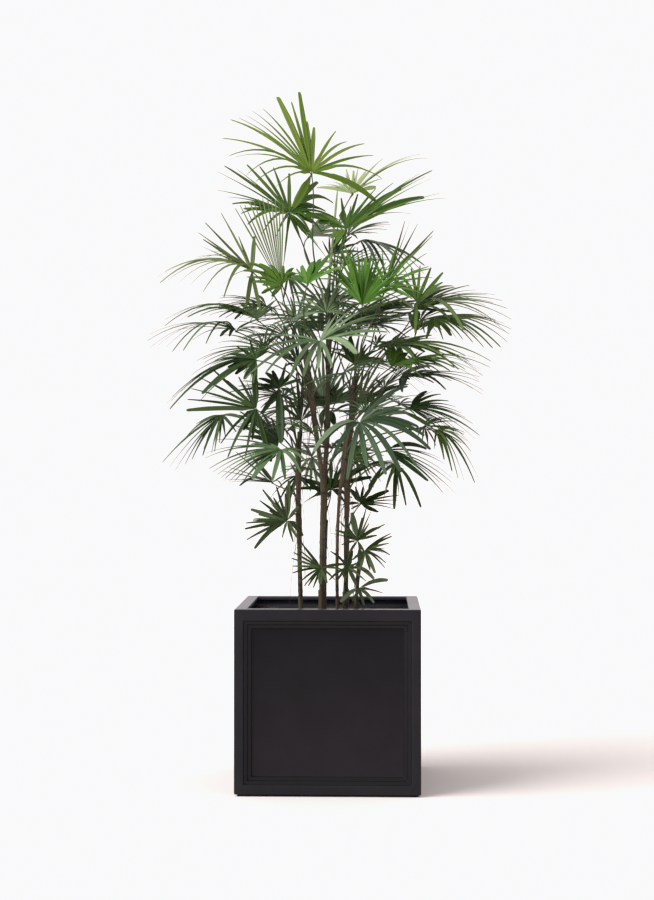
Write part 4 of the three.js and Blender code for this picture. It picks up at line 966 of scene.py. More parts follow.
        (405, 220, 0.0, 1.0), (410, 221, 0.0, 0.5), (418, 223, 0.0, 0.9), (434, 230, 0.0, 1.2),
        (433, 235, 0.0, 1.0)],
    ("e", 5): [
        (394, 281, 0.12, 1.8), (402, 276, 0.1, 1.1), (411, 268, 0.08, 1.1), (414, 280, 0.0, 1.3),
        (420, 265, 0.05, 1.0), (428, 275, 0.03, 1.3), (431, 267, 0.0, 1.2), (443, 272, 0.0, 1.3),
        (443, 282, 0.08, 1.1), (415, 333, 0.05, 1.2)],
    ("e", 6): [
        (422, 300, 0.1, 1.2), (414, 296, 0.08, 1.1), (406, 293, 0.06, 1.0), (398, 291, 0.05, 1.0),
        (389, 296, 0.04, 1.0), (420, 308, 0.12, 1.2), (412, 314, 0.12, 1.2), (402, 318, 0.12, 1.2),
        (392, 322, 0.12, 1.2), (380, 325, 0.1, 1.4), (372, 300, 0.0, 0.9), (360, 303, 0.0, 0.9),
        (408, 298, 0.06, 1.3), (415, 303, 0.06, 1.4), (400, 304, 0.06, 1.3), (425, 300, 0.08, 1.2),
        (352, 341, 0.05, 1.2), (340, 341, 0.05, 1.1), (361, 336, 0.05, 1.2)],
    ("e", 7): [
        (433, 345, 0.1, 1.3), (425, 352, 0.12, 1.4), (416, 358, 0.15, 1.4), (420, 340, 0.06, 1.2),
        (410, 336, 0.05, 1.1), (400, 334, 0.03, 1.1), (405, 362, 0.2, 1.4), (396, 360, 0.1, 1.4),
        (440, 350, 0.1, 1.0), (386, 362, 0.1, 1.1), (378, 350, 0.1, 1.3), (374, 342, 0.05, 1.1)],
    ("e", 8): [
        (443, 340, 0.12, 0.8), (451, 336, 0.16, 1.3), (463, 340, 0.2, 0.65), (473, 343, 0.2, 0.65),
        (484, 348, 0.2, 0.7), (493, 349, 0.22, 0.8), (501, 348, 0.22, 0.75), (508, 343, 0.22, 0.65),
        (510, 335, 0.18, 0.6), (512, 330, 0.15, 0.55), (505, 324, 0.12, 0.55), (496, 320, 0.1, 0.5),
        (486, 316, 0.08, 0.5), (426, 339, 0.0, 1.2), (463, 329, 0.24, 0.9), (478, 338, 0.22, 0.5),
        (468, 334, 0.2, 0.5), (420, 330, 0.0, 1.0), (456, 338, 0.18, 0.5)],
    ("e", 9): [
        (409, 312, 0.0, 1.8), (414, 309, 0.0, 1.3), (419, 312, 0.0, 1.1), (425, 316, 0.03, 1.1),
        (431, 319, 0.1, 0.7)],
    ("e", 10): [
        (491, 368, 0.2, 0.8), (484, 376, 0.2, 0.5), (482, 370, 0.2, 0.4), (466, 370, 0.2, 1.0),
        (455, 368, 0.18, 1.4), (450, 371, 0.2, 1.1), (440, 372, 0.2, 0.9), (480, 381, 0.2, 0.4),
        (430, 368, 0.15, 1.0), (476, 358, 0.14, 0.5), (423, 378, 0.2, 0.9), (405, 362, 0.3, 1.4),
        (409, 366, 0.05, 2.2), (413, 360, 0.05, 2.0), (383, 344, 0.0, 0.8), (387, 340, 0.0, 0.9),
        (394, 346, 0.0, 1.3), (400, 347, 0.0, 1.9), (406, 352, 0.0, 1.9), (411, 358, 0.04, 1.6)],
    ("e", 11): [
        (492, 362, 0.18, 0.9), (480, 372, 0.2, 0.5), (470, 362, 0.15, 0.7), (459, 370, 0.2, 0.8),
        (455, 366, 0.2, 0.7), (447, 355, 0.1, 0.8), (483, 377, 0.22, 0.4), (432, 335, 0.08, 1.1),
        (428, 338, 0.06, 0.9), (437, 338, 0.08, 0.5), (440, 352, 0.15, 1.2), (466, 356, 0.15, 0.8),
        (418, 364, 0.2, 0.9)],
    ("e", 12): [
        (484, 391, 0.18, 0.5), (483, 395, 0.2, 0.5), (480, 382, 0.14, 0.6), (468, 383, 0.16, 0.5),
        (452, 381, 0.18, 1.0), (446, 390, 0.28, 1.0), (434, 383, 0.2, 0.9), (473, 389, 0.2, 0.5),
        (402, 392, 0.0, 1.1), (480, 377, 0.12, 0.6), (423, 377, 0.1, 0.9), (416, 373, 0.05, 1.6),
        (424, 376, 0.05, 1.2), (410, 379, 0.03, 1.3), (440, 372, 0.1, 1.2), (433, 366, 0.08, 1.2),
        (436, 378, 0.1, 1.0)],
    ("e", 15): [
        (427, 391, 0.12, 1.6), (433, 391, 0.1, 0.5), (441, 394, 0.12, 1.1), (449, 401, 0.12, 0.9),
        (456, 407, 0.14, 0.8), (461, 413, 0.15, 0.7), (473, 424, 0.16, 0.8), (480, 436, 0.16, 1.0),
        (476, 440, 0.18, 0.4), (472, 446, 0.2, 0.3), (466, 442, 0.15, 0.3), (448, 436, 0.05, 0.5),
        (440, 430, 0.05, 0.6), (437, 418, 0.08, 0.6), (433, 422, 0.08, 0.6), (466, 418, 0.15, 0.7),
        (452, 428, 0.1, 0.6)],
    ("e", 16): [
        (454, 431, 0.3, 1.9), (464, 432, 0.15, 0.8), (471, 452, 0.28, 1.1), (475, 484, 0.28, 1.3),
        (478, 478, 0.28, 0.6), (464, 481, 0.3, 0.6), (458, 479, 0.3, 1.0), (452, 472, 0.25, 1.4),
        (444, 460, 0.2, 1.5), (434, 449, 0.1, 1.0), (442, 453, 0.1, 0.8), (467, 441, 0.2, 0.5),
        (401, 411, 0.08, 2.2)],
    ("e", 17): [
        (427, 449, 0.2, 1.9), (445, 464, 0.15, 0.6), (440, 458, 0.12, 0.6), (452, 478, 0.16, 0.4),
        (457, 487, 0.14, 0.5), (457, 495, 0.14, 0.6), (454, 497, 0.14, 0.5), (444, 494, 0.15, 0.9),
        (428, 481, 0.05, 2.1), (436, 475, 0.1, 0.7), (415, 464, 0.1, 0.9)],
    ("e", 18): [
        (394, 509, -0.02, 1.8), (406, 506, 0.1, 1.3), (421, 508, 0.22, 1.3), (399, 496, 0.05, 0.7),
        (413, 487, 0.15, 1.3), (385, 490, 0.1, 0.9), (378, 478, 0.1, 1.3), (383, 500, 0.05, 0.6)],
    ("e", 19): [
        (350, 489, 0.05, 1.8), (355, 486, 0.0, 1.2), (363, 486, 0.0, 1.2), (369, 488, 0.0, 1.0),
        (382, 467, 0.03, 2.0), (389, 490, 0.03, 1.8), (399, 495, 0.05, 0.7), (399, 500, 0.05, 0.6),
        (398, 505, 0.05, 0.6), (395, 509, 0.05, 0.6), (378, 512, -0.02, 1.8), (345, 503, 0.05, 1.0),
        (351, 509, 0.02, 0.9), (373, 496, 0.03, 2.4), (374, 501, 0.05, 2.0), (340, 505, 0.03, 0.7)],
    ("e", 20): [
        (330, 551, 0.1, 1.0), (338, 556, 0.05, 0.8), (374, 579, 0.25, 1.3), (366, 581, 0.03, 0.9),
        (356, 585, 0.05, 1.6), (341, 575, 0.1, 1.3), (329, 580, 0.1, 1.1), (363, 560, 0.0, 0.9),
        (352, 550, 0.0, 1.7), (344, 583, 0.05, 1.1), (336, 583, 0.1, 1.0), (369, 571, 0.1, 1.2)],
    ("f", 1): [
        (352, 512, 0.0, 2.5), (333, 515, 0.0, 0.4), (339, 520, 0.0, 0.7), (335, 530, 0.1, 1.3),
        (330, 533, 0.05, 0.5), (366, 508, 0.0, 1.0), (371, 511, 0.0, 0.7), (369, 523, 0.0, 1.0),
        (380, 527, 0.12, 1.4), (385, 524, 0.05, 1.0), (353, 547, 0.1, 1.0), (345, 524, 0.0, 1.1),
        (343, 536, 0.05, 1.1), (362, 517, 0.0, 1.2), (374, 528, 0.02, 1.3), (348, 556, 0.1, 1.2),
        (341, 545, 0.1, 1.1), (366, 556, 0.05, 1.0), (377, 535, 0.05, 1.2)],
    ("f", 2): [
        (391, 533, 0.06, 0.9), (392, 536, 0.06, 1.0), (390, 555, 0.2, 1.1), (386, 549, 0.1, 0.6),
        (386, 563, 0.1, 0.9), (385, 568, 0.1, 0.8), (375, 573, 0.03, 1.7), (384, 553, 0.1, 0.5),
        (360, 569, 0.0, 1.4), (378, 556, 0.0, 1.2), (370, 570, 0.0, 1.2), (389, 543, 0.05, 1.1),
        (352, 560, 0.05, 1.2), (356, 566, 0.03, 1.2), (381, 541, 0.0, 1.1)],
    ("f", 3): [
        (388, 580, 0.14, 1.6), (383, 593, 0.06, 0.7), (374, 603, 0.12, 1.4), (364, 605, 0.03, 1.2),
        (353, 601, 0.0, 1.3), (340, 602, 0.12, 1.9), (345, 594, 0.1, 0.9)],
}
# Smaller fans inside the crown, which the solids leave out: cane, height of the stalk's foot, the hub in the
# photograph's pixels and how far behind the cane's middle plane it stands, and then as in a frond's row
INNER_FANS = [
    ("c", 1000, 348, 234, 60, 30, 20, 10, 100, 11, 110, 0.4, "mid"),
    ("c", 960, 345, 264, 60, 40, 20, 10, 110, 11, 110, 0.4, "grey"),
    ("c", 930, 333, 300, -40, 20, 10, 20, 120, 12, 110, 0.5, "mid"),
    ("c", 905, 346, 320, 40, -10, 5, 10, 120, 12, 110, 0.5, "dark"),
    ("c", 890, 302, 318, -60, 160, 5, -10, 125, 12, 110, 0.5, "light"),
    ("c", 885, 326, 312, -70, 85, 45, 0, 105, 12, 115, 0.4, "light"),
    ("b", 830, 285, 335, 40, 190, 0, -20, 120, 12, 110, 0.5, "mid"),
    ("b", 800, 266, 305, -60, 200, -5, -20, 110, 11, 100, 0.5, "dark"),
    ("e", 830, 372, 325, 60, 0, 10, 20, 130, 12, 110, 0.5, "dark"),
    ("e", 830, 420, 320, 60, 0, 0, 20, 110, 12, 100, 0.5, "mid"),
    ("e", 815, 376, 346, 0, 10, 5, 15, 100, 12, 110, 0.4, "mid"),
    ("e", 790, 412, 362, 40, -5, -10, 20, 70, 11, 120, 0.4, "dark"),
    ("c", 900, 336, 322, 20, 80, 35, 0, 100, 13, 120, 0.4, "dark"),
    ("d", 700, 366, 412, -60, 60, 40, 0, 85, 12, 115, 0.4, "grey"),
    ("c", 740, 335, 402, 80, 60, 20, 0, 120, 12, 110, 0.4, "grey"),
    ("c", 715, 312, 408, 60, 130, 20, 0, 125, 12, 110, 0.4, "mid"),
    ("a", 715, 284, 396, 60, 150, 15, -10, 115, 12, 110, 0.5, "dark"),
    ("a", 690, 284, 428, 20, 190, 0, -10, 105, 11, 110, 0.5, "dark"),
    ("b", 690, 312, 432, -60, 200, 15, 0, 105, 11, 110, 0.4, "mid"),
    ("c", 690, 332, 448, 60, 90, 10, 0, 110, 12, 115, 0.5, "dark"),
    ("e", 690, 424, 426, 40, -10, -20, 20, 100, 11, 100, 0.5, "mid"),
    ("e", 690, 346, 457, -20, 0, 0, 70, 62, 9, 40, 0.1, "mid"),
    ("e", 650, 364, 466, 40, 20, 0, 0, 90, 11, 110, 0.5, "dark"),
    ("c", 640, 316, 470, 40, 150, 0, 0, 85, 10, 110, 0.5, "mid"),
    ("c", 870, 356, 330, 100, 40, 20, 0, 105, 13, 120, 0.45, "mid"),
    ("b", 860, 318, 330, 90, 120, 30, 0, 100, 13, 120, 0.4, "mid"),
]
# The photograph's eye in millimetres, its focal length in its own pixels, and the pixel it looks level at
EYE = np.array([107.0, -3820.0, 677.0])
FOCAL_PIXELS = 1790.0
VANISHING = (380.0, 463.0)
COMMON_WIDTH = 6.2
ARCH_GAIN = 1.3
FACING_LEAST = 0.15
LONGEST_SHARE = 0.98
SHOWN_LEAST = 0.55
FINE_WIDTH, FINE_TO_BROAD, BLUNTEST = 0.5, 0.9, 1.2
BASE_SPREAD = 0.24
SEAM_SHARE = 0.515
SEAM_ANGLE, SEAM_ANGLE_GAIN = 10.0, 50.0
JOINED_MOST = 0.85
THIN_FINGER, THIN_BROWN = 0.65, 0.5
# A fan with less joined than this is still folded at its base, and its fingers start as thin as threads
FOLDED_BELOW = 0.05
THREAD, THREAD_SPREAD = 0.25, 0.016
# How a fan differs from the others: the share of its length that is joined, how wide its fingers are beside
# those of other fans, and how much blunter they end
PLAIN_FAN = (0.12, 1.0, 0.0)
FAN_TRAITS = {
    ("a", 2): (0.24, 1.1, 0.2), ("a", 3): (0.2, 0.9, 0.2), ("a", 4): (0.16, 0.9, 0.0),
    ("a", 5): (0.16, 0.86, 0.0), ("a", 7): (0.36, 1.0, 0.0), ("a", 10): (0.18, 0.8, 0.4),
    ("b", 1): (0.02, 1.2, 0.6), ("b", 2): (0.1, 0.78, 0.0), ("b", 3): (0.42, 1.3, 0.3),
    ("b", 4): (0.34, 1.25, 0.3), ("b", 5): (0.15, 1.0, 0.0), ("b", 7): (0.3, 0.9, 0.0),
    ("b", 8): (0.1, 0.66, 0.2), ("b", 9): (0.2, 0.82, 0.0), ("b", 11): (0.12, 0.78, 0.1),
    ("b", 13): (0.14, 0.72, 0.5),
    ("c", 1): (0.15, 1.02, 0.0), ("c", 2): (0.14, 1.2, 0.0), ("c", 3): (0.26, 1.1, 0.0),
    ("c", 5): (0.3, 1.2, 0.0), ("c", 9): (0.2, 1.0, 0.0), ("c", 11): (0.2, 1.0, 0.35),
    ("c", 12): (0.4, 0.9, 0.0), ("c", 14): (0.3, 0.9, 0.0), ("c", 16): (0.3, 0.95, 0.1),
    ("d", 2): (0.13, 1.0, 0.2),
    ("e", 1): (0.42, 1.15, 0.0), ("e", 2): (0.3, 0.88, 0.1), ("e", 4): (0.06, 0.8, 0.0),
    ("e", 5): (0.18, 1.0, 0.2), ("e", 7): (0.3, 1.0, 0.0), ("e", 8): (0.3, 1.0, 0.35),
    ("e", 10): (0.34, 1.0, 0.0), ("e", 11): (0.2, 1.1, 0.0), ("e", 12): (0.34, 1.25, 0.0),
    ("e", 15): (0.08, 0.9, 0.0), ("e", 16): (0.12, 0.68, 0.1), ("e", 17): (0.08, 0.85, 0.0),
    ("e", 18): (0.24, 0.85, 0.4), ("e", 19): (0.28, 0.9, 0.3), ("e", 20): (0.28, 0.85, 0.5),
    ("f", 1): (0.2, 0.78, 0.5), ("f", 2): (0.2, 0.78, 0.5), ("f", 3): (0.26, 0.85, 0.5),
}
# How deep a finger may reach, beside what shows of it, and the one fan that is held flatter
ANY_DEPTH = 9.0
DEEPEST = {("e", 10): 0.8}


def chance(first, second):
    """A number from 0 to 1 that depends only on two numbers: the fraction left of a large sine."""
    wave = np.sin(first * 127.1 + np.asarray(second) * 311.7) * 43758.5453
    return wave - np.floor(wave)


def unit(v):
    """Each vector divided by its length."""
    return v / np.linalg.norm(v, axis=-1, keepdims=True)


def directions(heading, pitch, roll):
    """The fan's axes: m along its middle, s across it, and n up out of it, tilted about m by the roll."""
    turn, rise, tilt = np.radians([heading, pitch, roll])
    ahead = np.array([np.cos(turn), np.sin(turn), 0.0])
    up = np.array([0.0, 0.0, 1.0])
    m = ahead * np.cos(rise) + up * np.sin(rise)
    level = up * np.cos(rise) - ahead * np.sin(rise)
    n = level * np.cos(tilt) + np.cross(m, level) * np.sin(tilt)
    return m, np.cross(m, n), n


def blades_along(place, course, left, right, normal, seed, web=None):
    """Closed folded blades along lines: in each place eight points across.

    Two edges stand above a keel by the fold's share of the half width, the leaf swells a little between keel
    and edge, and the underside follows at the leaf's thickness. The fold flattens, and a twist grows, to the
    tip. Where a web is given, the edges move from its seams to the blade's own width as it comes free.
    """
    share = STATIONS[None, :]
    across = unit(np.cross(course, normal))
    above = np.cross(across, course)
    twist = TWIST * (chance(seed + 90, np.arange(len(place))) - 0.5)[:, None] * share ** TWIST_POWER
    across, above = (across * np.cos(twist)[..., None] + above * np.sin(twist)[..., None],
                     above * np.cos(twist)[..., None] - across * np.sin(twist)[..., None])
    to_left, to_right = -left[..., None] * across, right[..., None] * across
    if web:
        free, left_seam, right_seam = web
        to_left = to_left * free + left_seam * (1.0 - free)
        to_right = to_right * free + right_seam * (1.0 - free)
    half = 0.5 * (np.linalg.norm(to_left, axis=-1) + np.linalg.norm(to_right, axis=-1))
    keel = half * (FOLD * (1.0 - FOLD_FLATTENS * share) + KEEL_LEAST)
    thick = LEAF_THICKNESS * (1.0 - THINS_TO_TIP * share) * np.ones_like(half)
    wing = -keel * 0.5 + BULGE * half
    sides = np.stack([0.0 * to_right, HALF_WING * to_right, to_right, HALF_WING * to_right, 0.0 * to_right,
                      HALF_WING * to_left, to_left, HALF_WING * to_left], -2)
    lift = np.stack([-keel, wing, -thick * 0.5, wing - thick, -keel - thick, wing - thick, -thick * 0.5, wing],
                    -1)
    return place[:, :, None, :] + sides + lift[..., None] * above[:, :, None, :]


def narrowing(seed, number, broad):
    """A finger's width along its length: nearly even, then a smooth fall to the tip.

    A broad finger, 1, keeps its width longer and ends blunt, and a fine one, 0, draws out to a point.
    """
    share = STATIONS[None, :]
    broad = np.broadcast_to(np.asarray(broad, float), np.shape(number))[:, None]
    tip = np.sqrt(np.clip(1.0 - ((share - END_FROM) / END_REACH) ** 2, END_LEAST, 1.0))
    fall = FALL - FALL_LESS * broad + FALL_JITTER * (chance(seed + 55, number)[:, None] - 0.5)
    bend = BEND + BEND_LATER * broad
    rise = BASE_WIDTH + BASE_GAIN * smooth(share / BASE_REACH)
    return rise * (1.0 - fall * smooth((share - bend) / (1.0 - bend))) * np.where(share > END_FROM, tip, 1.0)


def shade_of(seed, number):
    """Which of a look's three shades each finger has, dealt out by chance."""
    return np.floor(chance(seed + 40, number) * SHADES).astype(int)


def fingers(row, seed):
    """All fingers of a fan by the rule of the solids.

    The spread is shared out in cells, and each finger leaves the hub along its cell's middle, raised out of
    the fan's plane by the cup. Its direction is pulled down by droop times the share of its length to the
    power 1.5. It is as wide as its cell up to the web's edge and narrower beyond.
    """
    _, x, y, z, heading, pitch, roll, length, count, spread, droop, _ = row
    m, s, n = directions(heading, pitch, roll)
    count = int(round(count * FINER))
    number = np.arange(count)
    end = (number == 0) | (number == count - 1)
    part = np.where(end, END_FINGER_SHARE, 1.0) * (1.0 + CELL_JITTER * (chance(seed, number) - 0.5))
    half_spread = np.radians(spread)
    edges = -half_spread + 2.0 * half_spread * np.concatenate([[0.0], np.cumsum(part)]) / part.sum()
    room = np.diff(edges)
    middle = 0.5 * (edges[1:] + edges[:-1])
    aim = middle + AIM_JITTER * room * (chance(seed + 20, number) - 0.5)
    full = length * (1.0 - SIDE_SHORTENING * (middle / half_spread) ** 2)
    full = full * (LENGTH_LEAST + LENGTH_JITTER * chance(seed + 50, number))
    cup = CUP + CUP_JITTER * (chance(seed + 30, number) - 0.5)
    start = (np.cos(aim) * np.cos(cup))[:, None] * m + (np.sin(aim) * np.cos(cup))[:, None] * s
    start = start + np.sin(cup)[:, None] * n

    steps = np.linspace(0.0, 1.0, PATH_STEPS + 1)
    centre = (0.5 * (steps[1:] + steps[:-1]))[None, :]
    fall = droop * (DROOP_LEAST + DROOP_JITTER * chance(seed + 60, number))[:, None] * centre ** DROOP_POWER
    sway = SWAY * (chance(seed + 70, number) - 0.5)[:, None] * centre ** 2
    along = unit(start[:, None, :] - fall[..., None] * [0.0, 0.0, 1.0] + sway[..., None] * s)
    path = np.cumsum(along, axis=1) * (full / PATH_STEPS)[:, None, None]
    path = np.concatenate([np.zeros((count, 1, 3)), path], axis=1)
    spot = STATIONS * PATH_STEPS
    k = np.minimum(spot.astype(int), PATH_STEPS - 1)
    t = (spot - k)[None, :, None]
    place = path[:, k] * (1.0 - t) + path[:, k + 1] * t + [x, y, z]
    near = np.clip(np.round(spot - 0.5).astype(int), 0, PATH_STEPS - 2)
    course = unit(along[:, near] + along[:, near + 1])

    out = STATIONS[None, :] * full[:, None]
    widest = (WIDTH_BASE + WIDTH_PER_LENGTH * length) * np.where(end, END_FINGER_SHARE, 1.0)
    widest = widest * (WIDTH_LEAST + WIDTH_JITTER * chance(seed + 80, number))
    free = smooth((STATIONS[None, :] - WEB_SHARE) / WEB_FADE)
    cell_width = 2.0 * np.tan(0.5 * room)[:, None] * out * (WEB_OVERLAP - (WEB_OVERLAP - ROOM_SHARE) * free)
    half = 0.5 * np.minimum(widest[:, None] * narrowing(seed, number, COMMON_BROAD), cell_width)
    points = blades_along(place, course, half, half, n, seed)
    return points, shade_of(seed, number), chance(seed + 45, number) < BROWN_TIPS


def seen_fingers(row, seed, tips, traits, deepest):
    """A fan whose fingers go to the places where the photograph shows their tips.

    A tip lies on the line of sight through its place, where that meets the fan's plane, and no deeper than the
    length of a finger allows. The finger is a parabola to it, whose middle stands above the straight line by
    about two thirds of the arch's share. Near the hub each side of a finger reaches half way to its neighbour,
    which closes the web.
    """
    web, wider, blunter = traits
    hub = np.array(row[1:4], float)
    m, s, n = directions(*row[4:7])
    tips = np.array(tips) * [1.0, 1.0, 1.0, wider]
    ray = np.stack([(tips[:, 0] - VANISHING[0]) / FOCAL_PIXELS, np.ones(len(tips)),
                    (VANISHING[1] - tips[:, 1]) / FOCAL_PIXELS], -1)
    depth = hub[1] - EYE[1]
    level = EYE + ray * depth - hub
    facing = np.copysign(max(abs(n[1]), FACING_LEAST), n[1])
    away = -(n[0] * level[:, 0] + n[2] * level[:, 2]) / facing
    shows = np.hypot(level[:, 0], level[:, 2])
    most = np.minimum(np.sqrt(np.clip((LONGEST_SHARE * row[7]) ** 2 - shows ** 2, 0.0, None)), deepest * shows)
    reach = EYE + ray * (depth + np.clip(away, -most, most))[:, None] - hub
    long = np.linalg.norm(reach, axis=1)
    middle = 0.5 * reach + ARCH_GAIN * tips[:, 2:3] * long[:, None] * [0.0, 0.0, 1.0]
    order = np.argsort(np.arctan2(middle @ s, middle @ m))
    tips, reach, long, middle = tips[order], reach[order], long[order], middle[order]
    number = np.arange(len(tips))

    def on_arc(finger, share):
        """Points of the fingers' parabolas, seen from the hub."""
        t = share[..., None]
        return 2.0 * t * (1.0 - t) * middle[finger][:, None, :] + t ** 2 * reach[finger][:, None, :]

    t = STATIONS[None, :, None]
    place = on_arc(number, np.tile(STATIONS, (len(tips), 1)))
    course = unit(2.0 * (1.0 - 2.0 * t) * middle[:, None, :] + 2.0 * t * reach[:, None, :])
    sight = unit(hub - EYE)
    flat = unit(course - (course @ sight)[..., None] * sight)
    shown = np.abs((unit(np.cross(course, n)) * np.cross(sight, flat)).sum(-1)).mean(1)
    own = 0.5 * COMMON_WIDTH * tips[:, 3] / np.clip(shown, SHOWN_LEAST, 1.0)
    broad = np.clip((tips[:, 3] - FINE_WIDTH) / FINE_TO_BROAD + blunter, 0.0, BLUNTEST)
    own = own[:, None] * narrowing(seed, number, broad)
    out = STATIONS[None, :] * long[:, None]
    own = np.minimum(own, out * BASE_SPREAD if web >= FOLDED_BELOW else THREAD + out * THREAD_SPREAD)

    seams = []
    for step, limit in ((-1, 0), (1, len(tips) - 1)):
        beside = np.clip(number + step, 0, len(tips) - 1)
        seam = SEAM_SHARE * (on_arc(beside, np.minimum(out / long[beside, None], 1.0)) - place)
        seam[limit] = step * own[limit][:, None] * unit(np.cross(course[limit], n))
        wide = np.linalg.norm(seam, axis=-1, keepdims=True)
        most = (out * np.tan(np.radians(SEAM_ANGLE + SEAM_ANGLE_GAIN * (web - PLAIN_FAN[0]))))[..., None]
        seams.append(seam * np.minimum(1.0, most / np.maximum(wide, 1e-6)))
    joined = np.minimum(web * (0.5 + 0.5 * long.max() / long), JOINED_MOST)[:, None, None]
    free = smooth((t - joined) / WEB_FADE)
    points = blades_along(place + hub, course, own, own, n, seed, (free, *seams))
    brown = (tips[:, 3] < THIN_FINGER) & (chance(seed + 45, number) < THIN_BROWN)
    return points, shade_of(seed, number), brown


# Plain colours of each look: three shades of the upper face, and the underside. The underside is paler partly
# as the
# leaf's own paler back and partly as painted light shining through the leaf. Some looks are painted light and
# shade:
# clear and sunny are lit copies for fans that stand in shade, deep and shade are painted shade, and the
# brightest shade of light is partly a painted highlight.
LEAF_COLOURS = {
    "lime": ((0.086, 0.158, 0.014), (0.116, 0.198, 0.022), (0.160, 0.245, 0.038), (0.115, 0.190, 0.030)),
    "young": ((0.038, 0.112, 0.008), (0.055, 0.148, 0.012), (0.085, 0.192, 0.022), (0.075, 0.160, 0.022)),
    "fresh": ((0.038, 0.088, 0.010), (0.057, 0.122, 0.016), (0.088, 0.165, 0.028), (0.072, 0.130, 0.024)),
    "mid": ((0.028, 0.060, 0.011), (0.045, 0.088, 0.018), (0.080, 0.138, 0.040), (0.065, 0.115, 0.032)),
    "sunny": ((0.038, 0.074, 0.014), (0.060, 0.106, 0.023), (0.100, 0.158, 0.046), (0.085, 0.140, 0.042)),
    "clear": ((0.056, 0.105, 0.023), (0.086, 0.148, 0.038), (0.140, 0.215, 0.073), (0.115, 0.185, 0.060)),
    "straw": ((0.068, 0.100, 0.026), (0.100, 0.143, 0.042), (0.155, 0.205, 0.080), (0.120, 0.165, 0.058)),
    "olive": ((0.026, 0.043, 0.014), (0.042, 0.066, 0.023), (0.076, 0.110, 0.046), (0.056, 0.080, 0.032)),
    "dark": ((0.014, 0.032, 0.007), (0.023, 0.046, 0.010), (0.041, 0.076, 0.022), (0.038, 0.070, 0.020)),
    "shade": ((0.019, 0.042, 0.010), (0.030, 0.060, 0.016), (0.056, 0.098, 0.032), (0.042, 0.076, 0.024)),
    "deep": ((0.012, 0.026, 0.008), (0.018, 0.036, 0.011), (0.026, 0.050, 0.016), (0.024, 0.044, 0.015)),
    "light": ((0.062, 0.112, 0.041), (0.112, 0.182, 0.078), (0.215, 0.310, 0.160), (0.105, 0.170, 0.075)),
    "satin": ((0.036, 0.066, 0.028), (0.068, 0.112, 0.053), (0.140, 0.205, 0.112), (0.070, 0.112, 0.054)),
    "silver": ((0.036, 0.070, 0.033), (0.077, 0.129, 0.067), (0.165, 0.245, 0.140), (0.080, 0.130, 0.068)),
    "grey": ((0.022, 0.050, 0.014), (0.040, 0.083, 0.026), (0.083, 0.142, 0.057), (0.068, 0.120, 0.046)),
    "mist": ((0.120, 0.160, 0.090), (0.185, 0.235, 0.140), (0.270, 0.330, 0.215), (0.190, 0.240, 0.145)),
    "sprout": ((0.066, 0.172, 0.015), (0.096, 0.230, 0.025), (0.140, 0.290, 0.048), (0.120, 0.240, 0.040)),
    "wan": ((0.125, 0.195, 0.058), (0.172, 0.250, 0.088), (0.240, 0.320, 0.138), (0.180, 0.250, 0.098)),
    "pale": ((0.220, 0.290, 0.105), (0.280, 0.350, 0.150), (0.350, 0.420, 0.215), (0.290, 0.360, 0.165)),
}
# A fan whose leaves look different from the others of its tone, some of them through the painted light and
# shade named above
OTHER_LOOKS = {
    ("a", 2): "deep", ("a", 3): "dark", ("a", 4): "shade", ("a", 5): "grey", ("a", 7): "deep",
    ("a", 10): "olive",
    ("b", 1): "wan", ("b", 2): "straw", ("b", 3): "sprout", ("b", 6): "mid", ("b", 7): "mid",
    ("b", 8): "grey", ("b", 9): "shade", ("b", 13): "olive",
    ("c", 1): "lime", ("c", 2): "fresh", ("c", 3): "fresh", ("c", 5): "mist", ("c", 6): "satin",
    ("c", 10): "satin", ("c", 11): "sunny", ("c", 12): "satin", ("c", 16): "mid",
    ("d", 2): "silver",
    ("e", 1): "mid", ("e", 4): "straw", ("e", 5): "fresh", ("e", 6): "clear", ("e", 7): "clear",
    ("e", 8): "sunny", ("e", 9): "mid", ("e", 10): "fresh", ("e", 11): "clear",
    ("e", 15): "grey", ("e", 16): "sunny", ("e", 17): "grey", ("e", 18): "mid", ("e", 20): "olive",
    ("f", 1): "olive", ("f", 2): "olive", ("f", 3): "olive",
}
TIP_COLOUR = (0.200, 0.185, 0.105)
TONES = ("young", "mid", "dark", "light", "grey", "pale")
PARTS = ("deep", "plain", "fresh", "under")
GLOSSY_LOOKS = ("light", "satin")
GLOSSY, SATIN, STALK_SHEEN = 0.35, 0.15, 0.18
LEAF_PATCHES, RIB_DEPTH = 45.0, 0.0004

# What has grown: the fans of each tone, the solids that they stand for, each fan with the row whose place on
# the cane its stalk starts from, and each such place
grown = {tone: [] for tone in TONES}
held = {tone: [] for tone in TONES}
carried = []
feet = []


def grow(row, seed, look, tips=None, traits=PLAIN_FAN, deepest=ANY_DEPTH):
    """Adds a fan to its tone: each finger's points, its skin's number, and whether its tip is brown."""
    points, shade, brown = seen_fingers(row, seed, tips, traits, deepest) if tips else fingers(row, seed)
    grown[row[11]].append((points, shade + len(PARTS) * list(LEAF_COLOURS).index(look), brown))


seed = 0
for cane, rows in FRONDS.items():
    piece = 0
    for place, row in enumerate(rows, 1):
        seed += 1
        if row[0] is not None:
            leader = row
            piece += 1
            held[row[11]].append(f"frond_{cane}_{piece}")
            feet.append((cane, row, seed))
        key = (cane, place)
        grow(row, seed, OTHER_LOOKS.get(key, row[11]), SEEN_FINGERS.get(key),
             FAN_TRAITS.get(key, PLAIN_FAN), DEEPEST.get(key, ANY_DEPTH))
        carried.append((row, leader, cane))
for cane, foot, across, down, depth, *lie in INNER_FANS:
    seed += 1
    sight = np.array([across - VANISHING[0], FOCAL_PIXELS, VANISHING[1] - down])
    row = (foot, *(EYE + sight * (depth - EYE[1]) / FOCAL_PIXELS), *lie)
    grow(row, seed, row[11])
    carried.append((row, row, cane))


